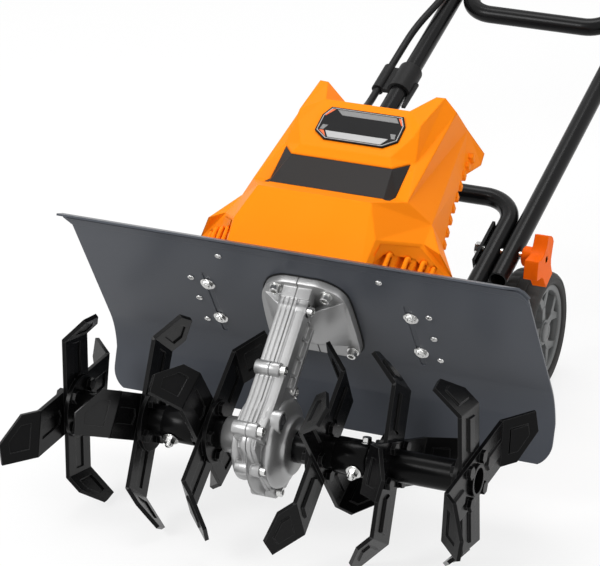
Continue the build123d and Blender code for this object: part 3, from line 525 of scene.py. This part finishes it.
slab(bm, deck_frame, [
    (-231, 86.0), (217.5, 86.0), (223.5, 82.0), (227.0, 76.5), (229.0, 66.0), (227.6, 66.0), (224.5, 74.0),
    (219.0, 77.5), (-229.5, 77.5),
], -0.3, 1.1, cut=0.9)
piece("shield_fold", bm, shield_grey, "chassis")

# Screws on the shield: nuts of the frame's bolts in its grooves, small screws beside them
GROOVE_FLOOR = -0.3
frame_nuts = [(-102.6, -13.5), (-102.2, 40.0), (103.4, -13.5), (103.6, 40.5)]
small_screws = [
    (-118.5, -20.0), (-117.6, 12.0), (-117.6, 46.0), (122.5, -19.6), (121.2, 14.1), (121.4, 48.5),
    (-79.5, -63.0), (81.5, -63.0),
]
bm = bmesh.new()
for x, v in frame_nuts:
    spot = frame_on(deck_place(x, v, GROOVE_FLOOR), DECK_OUT)
    turn_profile(bm, spot, [(7.2, 0), (7.6, 0.4), (7.6, 1.2), (7.0, 1.7)])
    turn_profile(bm, spot, [(5.4, 1.2, 6), (5.4, 3.0, 6), (4.9, 3.6, 12)], count=36)
    turn_profile(bm, spot, [(2.8, 3.4), (2.8, 4.2), (2.2, 4.7)])
for x, v in small_screws:
    pan_screw(bm, frame_on(deck_place(x, v, DECK_FACE), DECK_OUT), 3.4, 2.0)
piece("shield_screws", bm, zinc, "chassis")

# Screws of the gear case's flange, those that hold its two halves together, and the nut at its back
flange_screws = [(-22.5, -41.5), (27.3, -38.7), (36.3, 46.1), (-37.0, 46.1)]
FLANGE_FACE = -9.0
bm = bmesh.new()
for x, v in flange_screws:
    socket_screw(bm, frame_on(deck_place(x, v, FLANGE_FACE), DECK_OUT), 4.6, 6.0, washer=6.2)
for y, z, seat in case_screws:
    socket_screw(bm, side_place(seat, y, z), 4.6, 5.5)
rear_nut = [(7.4, 0), (7.4, 1.2), (5.8, 1.4), (5.6, 4.2), (4.8, 4.8), (3.0, 4.8), (2.8, 3.0)]
turn_profile(bm, side_place(9.4, 34.8, 36.4), rear_nut)
piece("gear_case_screws", bm, zinc, "chassis")

# Gear case in its own detail, each half built off the seam's plane; points are (back, up)
SEAM = 0.25
CORE_FACE = 8.0
PLUG_Y, PLUG_Z = -18, 30.8
rim_path = [
    (69.0, 126.6), (56.0, 114.4), (33.0, 92.7), (10.0, 71.1), (-13.0, 49.5), (-30.0, 37.7), (-42.0, 29.5),
    (-47.5, 25.0), (-50.7, 19.5), (-51.0, 14.0), (-47.0, 4.3), (-40.6, -6.4), (-27.5, -24.5), (-14.0, -41.0),
    (-5.6, -49.6), (4.0, -55.4), (13.0, -57.7), (22.0, -58.0), (31.5, -55.4), (40.0, -50.0), (47.0, -41.2),
    (52.0, -30.0), (57.0, -15.0), (60.0, 0.0), (56.0, 15.0), (46.0, 29.0), (32.0, 39.6), (58.0, 64.0),
    (86.0, 90.3), (95.0, 89.0),
]
# the neck's grooved front and the housing's narrower rim share two points of the path
neck_path = rim_path[:8]
housing_path = rim_path[6:]
# sections are (distance off the seam's plane, height over the path)
neck_sections = {
    -1: [
        (SEAM, -12), (SEAM, -0.5), (0.7, 0), (3.6, 0), (3.9, -0.8), (4.6, -0.8), (4.9, 0), (8.6, 0),
        (8.9, -0.7), (9.6, -0.7), (9.9, 0), (12.6, 0), (13.7, -0.8), (14, -2.4), (14, -12),
    ],
    1: [
        (SEAM, -12), (SEAM, -0.5), (0.7, 0), (3.0, 0), (3.4, -0.5), (3.5, -3.4), (4.9, -3.4), (5.0, -1.2),
        (5.6, -0.5), (11.0, -0.5), (12.8, -1.1), (13.8, -2.4), (14, -4.0), (14, -12),
    ],
}
housing_section = [
    (SEAM, -8), (SEAM, -0.5), (0.7, 0), (4.2, 0), (4.8, -0.4), (5.0, -1.2), (7.0, -2.2),
    (CORE_FACE, -5.0), (CORE_FACE, -8),
]
core = [
    (64.0, 120.0), (-13.0, 47.5), (-44.0, 25.0), (-49.0, 14.0), (-38.5, -6.4), (-12.0, -39.0), (4.0, -53.4),
    (22.0, -56.0), (39.0, -48.5), (50.0, -29.0), (58.0, 0.0), (45.0, 27.5), (31.0, 38.0), (86.0, 90.0),
    (92.0, 86.0),
]
top_block = [(70.0, 128.4), (60.6, 119.4), (65.5, 113.5), (77.0, 122.0)]
front_wall = [(67.5, 123.0), (-13.0, 47.8), (-38.0, 27.5), (-29.5, 18.0), (-4.1, 40.1), (77.0, 116.0)]
rear_wall = [(29.2, 43.0), (32.2, 39.6), (96.0, 99.3), (93.0, 102.8)]
inner_rail = [(3.6, 47.6), (7.0, 44.2), (24.0, 60.2), (81.0, 113.8), (78.0, 117.4)]
pocket_ribs = [
    ((12.0, 50.0), (30.0, 41.5)), ((24.0, 61.0), (40.0, 49.0)), ((38.0, 74.0), (52.0, 61.0)),
    ((51.0, 86.0), (66.0, 74.5)), ((64.0, 98.5), (79.0, 86.0)), ((77.0, 110.0), (90.0, 97.5)),
]
pocket_foot = smooth_outline([(26.0, 36.0), (33.0, 30.0), (40.0, 34.5), (38.0, 43.0), (30.0, 45.0)])
shoulder = smooth_outline([
    (-6.0, 53.0), (-22.0, 41.0), (-36.0, 28.5), (-37.5, 18.0), (-33.0, 4.0), (-24.0, -14.0), (-10.0, -33.0),
    (6.0, -47.0), (22.0, -51.0), (37.0, -45.0), (47.0, -27.0), (53.0, 0.0), (45.0, 25.0), (26.0, 44.0),
    (10.0, 58.0),
])
# the shoulder rounds off in steps: each one's outer face and how far its edge is cut back
shoulder_steps = [(9.8, 1.8), (11.4, 4.0), (12.6, 6.6), (13.5, 9.6), (14.0, 13.0)]
# turned round the shaft: (radius, distance off the seam's plane)
drum_profiles = {
    -1: [
        (33.0, 4.0), (34.0, 9.0), (36.5, 12.0), (39.0, 14.0), (39.6, 16.5), (39.2, 19.0), (37.6, 20.0),
        (21.5, 20.4), (18.6, 22.0), (17.6, 25.0), (17.0, 39.8), (16.0, 41.0), (11.9, 41.0),
    ],
    1: [
        (35.0, 4.0), (36.0, 9.0), (38.5, 12.0), (41.0, 14.0), (41.8, 16.0), (41.2, 17.8), (39.4, 19.4),
        (36.6, 20.9), (33.8, 22.1), (31.2, 23.3), (29.2, 24.8), (28.0, 26.4), (27.5, 27.8), (26.6, 28.5),
        (11.9, 28.5),
    ],
}
plug_boss = [
    (13.5, 9.0), (11.4, 11.5), (10.6, 14.5), (10.4, 22.4), (9.8, 23.2), (8.3, 23.2), (8.0, 21.8), (3.0, 21.8),
]
# flange and gussets on the shield: (across, down the slope), and for the gussets the height over it
case_flange = {
    -1: [
        (0, -51.3), (-10, -51.2), (-20, -49.6), (-31.5, -42.5), (-38.5, -32), (-42.5, -20), (-45, 0),
        (-47, 22), (-47.5, 42), (-41, 55), (-25, 57.5), (0, 58.0),
    ],
    1: [
        (0, -51.3), (11, -51.2), (21, -51), (30.5, -47.7), (39, -41.5), (43.8, -33), (45.4, -20), (45.6, 0),
        (45.3, 18), (44.2, 40), (41.2, 51.5), (33.5, 57.3), (22, 58.0), (0, 58.0),
    ],
}
flange_outline = case_flange[1] + case_flange[-1][-2:0:-1]
gusset_corners = {
    -1: [
        (-17.0, 30.5, 7.4), (-38.0, 30.0, 7.4), (-39.5, 20.5, 7.4), (-14.0, 29.0, 23.0), (-6.0, 29.0, 23.0),
        (-14.0, -2.0, 26.5), (-6.0, -14.0, 26.5), (-40.0, -22.0, 7.4), (-34.0, -40.0, 7.4),
        (-6.0, -40.0, 7.4),
    ],
    1: [
        (17.0, 21.0, 7.4), (44.5, 32.0, 7.4), (43.5, 25.0, 7.4), (14.0, 18.5, 24.0), (6.0, 24.0, 24.0),
        (14.0, -14.0, 26.5), (6.0, -18.0, 26.5), (37.0, -39.0, 7.4), (6.0, -40.0, 7.4),
    ],
}


def case_slab(bm, side, outline, face, cut=0.0, start=SEAM):
    """A plate of one half of the gear case, from start to its face off the seam's plane."""
    slab(bm, side_frame, outline, side * start, side * face, cut)


def case_neck(bm, side):
    """Grooved front, smooth top block, walls and rails of the neck, and the ribs of its pocket."""
    sweep(bm, side_frame, neck_path, neck_sections[side], side)
    case_slab(bm, side, top_block, 14.3, cut=0.9)
    case_slab(bm, side, front_wall, 13.9, cut=0.8)
    case_slab(bm, side, rear_wall, 13.2, cut=0.5)
    case_slab(bm, side, inner_rail, 12.6, cut=0.5)
    for foot, head in pocket_ribs:
        a, b = Vector(foot), Vector(head)
        wide = Vector((b.y - a.y, a.x - b.x)).normalized()
        outline = [tuple(p) for p in (a + wide, b + wide, b - wide, a - wide)]
        case_slab(bm, side, outline, 11.4, start=CORE_FACE)
    case_slab(bm, side, pocket_foot, 9.5, cut=0.6)


def case_housing(bm, side):
    """Core, narrow rim, rounded shoulder, drum round the shaft, and the bosses of screws and plug."""
    sweep(bm, side_frame, housing_path, housing_section, side)
    case_slab(bm, side, core, 8.5)
    for face, cut in shoulder_steps:
        case_slab(bm, side, shoulder, face, cut=cut if side > 0 else cut * 1.15, start=CORE_FACE)
    drum = [(12.2, SEAM), (50.0, SEAM)] + drum_profiles[side]
    turn_profile(bm, side_frame, [(r, side * x) for r, x in drum], count=96, closed_ends=False)
    for y, z, seat in case_screws:
        top = 14.6 if side < 0 else seat
        boss = [(6.9, SEAM), (6.9, top - 0.8), (6.3, top), (2.0, top)]
        turn_profile(bm, side_place(0, y, z), [(r, side * x) for r, x in boss], count=32)
    if side > 0:
        turn_profile(bm, side_place(0, PLUG_Y, PLUG_Z), plug_boss, count=40)


def case_foot(bm, side):
    """Half of the flange on the shield with its edge broken, and the gusset up to the neck."""
    clipped = [(x, -v) for x, v in smooth_outline(flange_outline) if x * side > SEAM]
    clipped.sort(key=lambda p: -atan2(p[1] - 2.0, side * p[0] + 6.0))
    clipped = [(side * SEAM, clipped[0][1])] + clipped + [(side * SEAM, clipped[-1][1])]
    slab(bm, deck_frame, clipped, 0.15, 8.0, cut=1.0)
    hull(bm, deck_frame, gusset_corners[side])


for name, side in (("left", -1), ("right", 1)):
    bm = bmesh.new()
    case_neck(bm, side)
    case_housing(bm, side)
    case_foot(bm, side)
    cast_half = piece(f"gear_case_{name}_cast", bm, cast, "chassis", smooth=38)
    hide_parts(f"gear_case_{name}")

plug_rows = [
    (7.9, -0.2), (7.9, 0.3), (7.2, 0.3), (7.0, 1.0), (6.6, 1.3), (3.2, 1.3, 6), (2.8, -1.6, 6),
]
bm = bmesh.new()
turn_profile(bm, side_place(plug_boss[-1][1], PLUG_Y, PLUG_Z), plug_rows)
piece("oil_plug", bm, iron, "chassis")

# Gasket between the flange and the shield
gasket_outline = smooth_outline([(x * 1.03, -v * 1.03) for x, v in flange_outline])
bm = bmesh.new()
slab(bm, deck_frame, gasket_outline, 0.05, 0.9)
piece("flange_gasket", bm, rubber, "chassis")

# Cross bolts of the tine sleeves and the collars that they clamp
# side, distance from the middle, angle round the shaft, height of the seat
through_bolts = [(1, 92, 202, 17.0), (-1, 92, 211, 17.0)]
small_bolts = [(1, 97, 79, 15.2), (-1, 97, 31, 17.0)]


def round_shaft(side, x, angle, seat):
    """Frame on the tine shaft's side, its z pointing away from the shaft."""
    spin = radians(angle)
    return frame_on((side * x, seat * cos(spin), seat * sin(spin)), (0, cos(spin), sin(spin)))


bm = bmesh.new()
for bolt in through_bolts:
    hex_screw(bm, round_shaft(*bolt), 8.5, 5.0, washer=7.6, stud=2.9)
for bolt in small_bolts:
    hex_screw(bm, round_shaft(*bolt), 8.0, 4.5, washer=6.4)
piece("sleeve_bolts", bm, zinc, "tine_assembly")
COLLAR_X = 70
collar_rows = [(15.05, 0), (16.8, 0), (17.2, 0.5), (17.2, 31.5), (16.8, 32), (15.05, 32)]
bm = bmesh.new()
for side in (-1, 1):
    place = frame_on((side * COLLAR_X, 0, 0), (side, 0, 0), (0, 1, 0))
    turn_profile(bm, place, collar_rows, count=48, closed_ends=False)
piece("sleeve_collars", bm, tine_black, "tine_assembly", smooth=40)

# Air intakes of the hood: a slanted panel over their upper half, arched ribs below it
def tube(bm, points, radius, count=12):
    """A round bar through points in millimetres from the tine shaft."""
    rings = []
    for i, point in enumerate(points):
        along = (points[min(i + 1, len(points) - 1)] - points[max(i - 1, 0)]).normalized()
        if not rings:
            first = along.orthogonal().normalized()
        else:
            first = (first - along * first.dot(along)).normalized()
        second = along.cross(first)
        ring = []
        for k in range(count):
            angle = 2 * pi * k / count
            spot = point + (first * cos(angle) + second * sin(angle)) * radius
            ring.append(bm.verts.new(at(*spot)))
        rings.append(ring)
    bridge(bm, rings)


def arched_rib(head, reach):
    """Points of a rib from its foot up, over its arch and into the hood."""
    down = Vector((0, -0.8, -0.59)).normalized()
    inner = Vector((0, 0.62, -0.79))
    points = [head + down * reach, head + down * 14, head + down * 4]
    for k in range(1, 6):
        angle = pi / 2 * k / 5
        points.append(head + down * 4 * (1 - sin(angle)) + inner * 5 * (1 - cos(angle)))
    points.append(points[-1] + inner * 4)
    return points


INTAKE_RIB_RADIUS = 2.3
intake_out = Vector((0.75, -0.39, 0.53)).normalized()
# corners of the opening's upper half, in its plane, and how deep each is sunk
intake_panel = [
    ((73.8, 76.0, 169.0), -0.2), ((75.2, 87.0, 175.2), -0.2), ((98.9, 123.8, 161.6), -0.2),
    ((121.6, 126.2, 136.8), -0.2), ((117.0, 118.5, 138.0), 7.0), ((101.0, 113.0, 156.0), 4.0),
    ((80.0, 88.5, 166.5), 4.0), ((76.5, 74.0, 163.0), 7.0),
]
# the top of each rib's arch under the panel's edge, and its length
intake_ribs = [
    ((82.0, 93.0, 166.0), 22), ((94.5, 106.5, 158.5), 26), ((105.8, 118.5, 151.8), 28),
    ((113.6, 125.0, 145.0), 26),
]
bm = bmesh.new()
for side in (1, -1):
    mirror = Matrix.Diagonal((side, 1, 1))
    verts = [bm.verts.new(at(*(mirror @ (Vector(p) - intake_out * depth)))) for p, depth in intake_panel]
    for corners in ((0, 1, 6, 7), (1, 2, 5, 6), (2, 3, 4, 5)):
        bm.faces.new([verts[k] for k in corners])
    for head, reach in intake_ribs:
        points = arched_rib(Vector(head) - intake_out * 1.2, reach)
        tube(bm, [mirror @ p for p in points], INTAKE_RIB_RADIUS)
piece("intake_ribs", bm, orange, "chassis", smooth=45)

# Louvres along the hood's side, spread evenly over the stretches of its line
LOUVRES = 9
LOUVRE_START, LOUVRE_STEP = 0.1, 0.33
louvre_line = [Vector((90, 208, 129)), Vector((85, 244, 153)), Vector((80, 285, 172)), Vector((79, 322, 186))]
louvre_outline = [(-3.2, -6), (3.2, -6), (3.2, 2.5), (-3.2, 2.5)]
bm = bmesh.new()
for side in (1, -1):
    for k in range(LOUVRES):
        stretch, share_along = divmod(LOUVRE_START + k * LOUVRE_STEP, 1)
        spot = louvre_line[int(stretch)].lerp(louvre_line[int(stretch) + 1], share_along)
        place = frame_on((side * spot.x, spot.y, spot.z), (side * 0.9, 0.1, 0.05), (0, 0.83, 0.55))
        slab(bm, place, louvre_outline, -4.0, 1.5, cut=0.8)
piece("hood_louvres", bm, orange, "chassis")

# Label on the hood: a dark plate with plain bands and a bright outline, no lettering
label_slope = radians(25.7)
label_place = (0, 206.5, 235.3)
label_right = Vector((1, 0, 0))
label_up = Vector((0, cos(label_slope), sin(label_slope)))
# the photograph's label sits a little further right and up, is wider and not quite as tall
label_shift = (label_right * 4.3 + label_up * 2.3) / 1000
label_fit = (
    Matrix.Translation(at(*label_place) + label_shift) @ Matrix.Scale(1.035, 4, label_right)
    @ Matrix.Scale(0.985, 4, label_up) @ Matrix.Translation(-at(*label_place))
)
label_frame = label_fit @ frame_on(label_place, (0, -sin(label_slope), cos(label_slope)))
# heights over the label's plane: where the print starts, its face and the outline's face
PRINT_BASE, PRINT_FACE, OUTLINE_FACE = 1.7, 1.98, 2.02
label_outline = [
    (-29, -21.5), (29, -21.5), (41, -11.5), (41, 9.5), (35.5, 21.5), (-35.5, 21.5), (-41, 9.5), (-41, -11.5),
]

plate = own_copy("label_plate")
placed = plate.matrix_world.copy()
plate.data.transform(placed.inverted() @ label_fit @ placed)
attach(plate, "chassis")


def inset(outline, share_x, share_y):
    """The outline drawn in towards its middle."""
    return [(x * share_x, y * share_y) for x, y in outline]


def rim_band(bm, place, outside, inside, low_z, high_z):
    """A flat ring between two outlines of the same count."""
    rings = []
    for outline, height in ((outside, low_z), (outside, high_z), (inside, high_z), (inside, low_z)):
        rings.append([bm.verts.new(place @ Vector((*p, height))) for p in outline])
    bridge(bm, rings + [rings[0]], closed_ends=False)


def print_on_label(name, surface, outlines):
    """Flat shapes printed on the label."""
    bm = bmesh.new()
    for outline in outlines:
        slab(bm, label_frame, outline, PRINT_BASE, PRINT_FACE)
    piece(name, bm, surface, "chassis")


bm = bmesh.new()
outline_outside = inset(label_outline, 0.965, 0.94)
outline_inside = inset(label_outline, 0.945, 0.905)
rim_band(bm, label_frame, outline_outside, outline_inside, PRINT_BASE, OUTLINE_FACE)
piece("label_outline", bm, label_pale, "chassis")
print_on_label("label_bands", label_grey, [
    [(-29.0, 18.6), (29.5, 18.6), (34.0, 11.8), (-22.0, 11.8)],
    [(-36.0, -3.0), (-30.5, -3.0), (-33.5, -9.5), (-37.0, -9.5)],
    [(30.5, -3.0), (36.0, -3.0), (37.0, -9.5), (33.5, -9.5)],
])
print_on_label("label_foot", label_pale, [
    [(-31.0, -10.4), (31.0, -10.4), (26.0, -18.6), (-26.0, -18.6)],
])
print_on_label("label_accents", label_orange, [
    [(-35.5, 18.0), (-30.5, 18.6), (-37.5, 8.5), (-38.3, 10.0)],
    [(31.5, 18.4), (35.0, 18.0), (38.6, 9.0), (37.0, 9.5)],
    [(-37.5, -10.4), (-32.5, -10.4), (-28.0, -18.4)],
])

# Tyres: turned, with two grooves and shallow lugs on the shoulders
TYRE_STEPS = 192
LUG_STEPS, LUG_GAP = 6, (4, 5)
tyre_rows = [
    # radius, height along the axle, depth of the lugs there
    (50.1, 40.0, 0), (51.0, 41.0, 0), (54.0, 42.0, 0), (56.0, 41.4, 0), (56.6, 42.0, 0),
    (59.2, 41.0, 0), (61.4, 38.4, 0.5), (62.4, 35.0, 0.9), (62.8, 31.0, 0.9), (62.85, 28.0, 0.2),
    (61.8, 27.5, 0), (61.8, 26.0, 0), (62.95, 25.4, 0), (63.0, 21.0, 0), (62.95, 16.6, 0),
    (61.8, 16.0, 0), (61.8, 14.5, 0), (62.85, 14.0, 0.2), (62.8, 11.0, 0.9), (62.4, 7.0, 0.9),
    (61.4, 3.6, 0.5), (59.2, 1.0, 0), (56.6, 0.0, 0), (54.0, 0.0, 0), (51.0, 1.0, 0), (50.1, 2.0, 0),
]
cap_rows = [(10.5, -1.0), (10.5, 1.4), (9.6, 2.4), (6.2, 3.0), (5.6, 2.6), (2.0, 2.6)]
for name, side in (("left", -1), ("right", 1)):
    bm = bmesh.new()
    place = frame_on((side * TYRE_INNER_X, WHEEL_Y, WHEEL_Z), (side, 0, 0), (0, 1, 0))
    rings = []
    for radius, height, lug in tyre_rows:
        ring = []
        for i in range(TYRE_STEPS):
            angle = 2 * pi * i / TYRE_STEPS
            r = radius - (lug if i % LUG_STEPS in LUG_GAP else 0)
            ring.append(bm.verts.new(place @ Vector((r * cos(angle), r * sin(angle), height))))
        rings.append(ring)
    bridge(bm, rings + [rings[0]], closed_ends=False)
    tyre = piece(f"tyre_tread_{name}", bm, tyre_black, f"wheel_{name}", smooth=50)
    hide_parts(f"tyre_{name}")
    bm = bmesh.new()
    cap = frame_on((side * WHEEL_FACE_X, WHEEL_Y, WHEEL_Z), (side, 0, 0), (0, 1, 0))
    turn_profile(bm, cap, cap_rows)
    piece(f"wheel_cap_{name}", bm, rim_grey, f"wheel_{name}")

# Cable stretches that cross a fold: copies of the CAD's, their placing baked in
for name, first, second in (
    ("cable_lower", "chassis", "handle_lower"),
    ("cable_fold", "handle_lower", "handle_upper"),
):
    bent = own_copy(name)
    low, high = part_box(name)
    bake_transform(bent)

# Knobs with three blocky lobes in place of the CAD's round ones: a hub, a plain and a bored layer
KNOB_DEPTH, KNOB_PLAIN, KNOB_HUB = 24.0, 18.5, 9.5
KNOB_HOLE = 3.2
knob_outline = [
    (5, 23), (13.5, 20), (17.5, 17), (20.5, 12), (16.5, 2), (14, -5), (14, -11), (16.5, -17), (19, -22),
    (1, -30.5), (-4.5, -23), (-8, -18), (-13.5, -14.5), (-26.5, -13), (-27.5, -12), (-24.8, 5), (-24, 6),
    (-11.5, 6), (-6, 8), (-2, 11.5), (1, 16),
]
knob_hub = [(9.0, 0), (10.2, 1.2), (10.2, 9.6)]
for level, along, body in (("lower", 0.0, "chassis"), ("upper", UPPER_PIVOT_S, "handle_lower")):
    bm = bmesh.new()
    seat_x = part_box(f"clamp_knobs_{level}")[1][0] * 1000 - KNOB_DEPTH
    centre = Vector(handle_place(0, along)[1:])
    outline = [tuple(centre + Vector(p)) for p in knob_outline]
    hole = []
    for k in range(17):
        angle = -k * pi / 8
        hole.append(tuple(centre + Vector((cos(angle), sin(angle))) * KNOB_HOLE))
    for side in (-1, 1):
        layers = (KNOB_HUB, KNOB_PLAIN, KNOB_DEPTH)
        hub_x, plain_x, face_x = (side * (seat_x + depth) for depth in layers)
        slab(bm, side_frame, outline, hub_x, plain_x)
        slab(bm, side_frame, outline + [outline[0]] + hole, plain_x, face_x)
        hub = [(radius, side * (seat_x + depth)) for radius, depth in knob_hub]
        turn_profile(bm, side_place(0, *centre), hub, count=40)
    knobs = piece(f"knobs_{level}", bm, knob_orange, body)
    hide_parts(f"clamp_knobs_{level}")

# Wide rim face and broad Y spokes over the wheels' own
SPOKES, SPOKE_START = 5, 18
SPOKE_BACK_X = 111.0
# turned from the spoke's line, reach of its two ends, width at them, and its face off the middle
spoke_bars = [(0, 9, 27, 9.5, 8.0, 120.7), (17, 23, 46.5, 6.0, 6.0, 120.4), (-17, 23, 46.5, 6.0, 6.0, 120.1)]
rim_rows = [(49.9, 119.0), (49.9, 122.3), (48.6, 123.0), (45.6, 122.6), (43.6, 121.4), (43.2, 116.0)]


def from_hub(angle, reach):
    """A point of the wheel's plane at an angle in degrees and a reach from its middle."""
    return Vector((cos(radians(angle)), sin(radians(angle)))) * reach


for name, side in (("left", -1), ("right", 1)):
    bm = bmesh.new()
    centre = Vector((WHEEL_Y, WHEEL_Z))
    for k in range(SPOKES):
        angle = SPOKE_START + 360 / SPOKES * k
        for turned, start, end, width, tip_width, face_x in spoke_bars:
            foot = centre + from_hub(angle, start)
            head = centre + from_hub(angle + turned, end)
            along = (head - foot).normalized()
            half = Vector((-along.y, along.x)) / 2
            outline = [
                tuple(end_point + half * wide)
                for end_point, wide in ((foot, width), (head, tip_width), (head, -tip_width), (foot, -width))
            ]
            slab(bm, side_frame, outline, side * SPOKE_BACK_X, side * face_x)
    ring = [(radius, side * x) for radius, x in rim_rows]
    turn_profile(bm, side_place(0, *centre), ring, count=96, closed_ends=False)
    piece(f"rim_face_{name}", bm, rim_grey, f"wheel_{name}")

# Loose tongue of the cable clip at the tube's right side: (across, up the handle's slope)
tongue = [(-91.6, 200), (-87.4, 200), (-86.8, 240), (-91.6, 243)]
bm = bmesh.new()
slab(bm, frame_on(handle_place(0, 0), HANDLE_UP), tongue, -2.5, 0.5, cut=0.4)
piece("clip_tongue", bm, plastic_black, "handle_lower")

# Ribs round the two grips, along each one's longest axis
GRIP_RIBS = 11
GRIP_RIB_STEP = 0.15
grip_rib_rows = [(-0.6, -2.6), (0.5, -1.8), (0.9, 0), (0.5, 1.8), (-0.6, 2.6)]
bm = bmesh.new()
for name in ("grip_left", "grip_right"):
    low, high = (Vector(corner) * 1000 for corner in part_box(name))
    extent = high - low
    longest = max(range(3), key=lambda k: extent[k])
    radius = min(extent) / 2
    axis = Vector([1.0 if k == longest else 0.0 for k in range(3)])
    lie = axis.to_track_quat("Z", "Y").to_matrix().to_4x4() @ Matrix.Scale(0.001, 4)
    rib = [(radius + over, x) for over, x in grip_rib_rows]
    for k in range(GRIP_RIBS):
        offset = (k - GRIP_RIBS // 2) * GRIP_RIB_STEP * extent[longest] / 2
        spot = (low + high) / 2 + axis * offset
        turn_profile(bm, Matrix.Translation(spot / 1000) @ lie, rib, count=40)
piece("grip_ribs", bm, rubber, "handle_upper", smooth=60)

low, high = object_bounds()
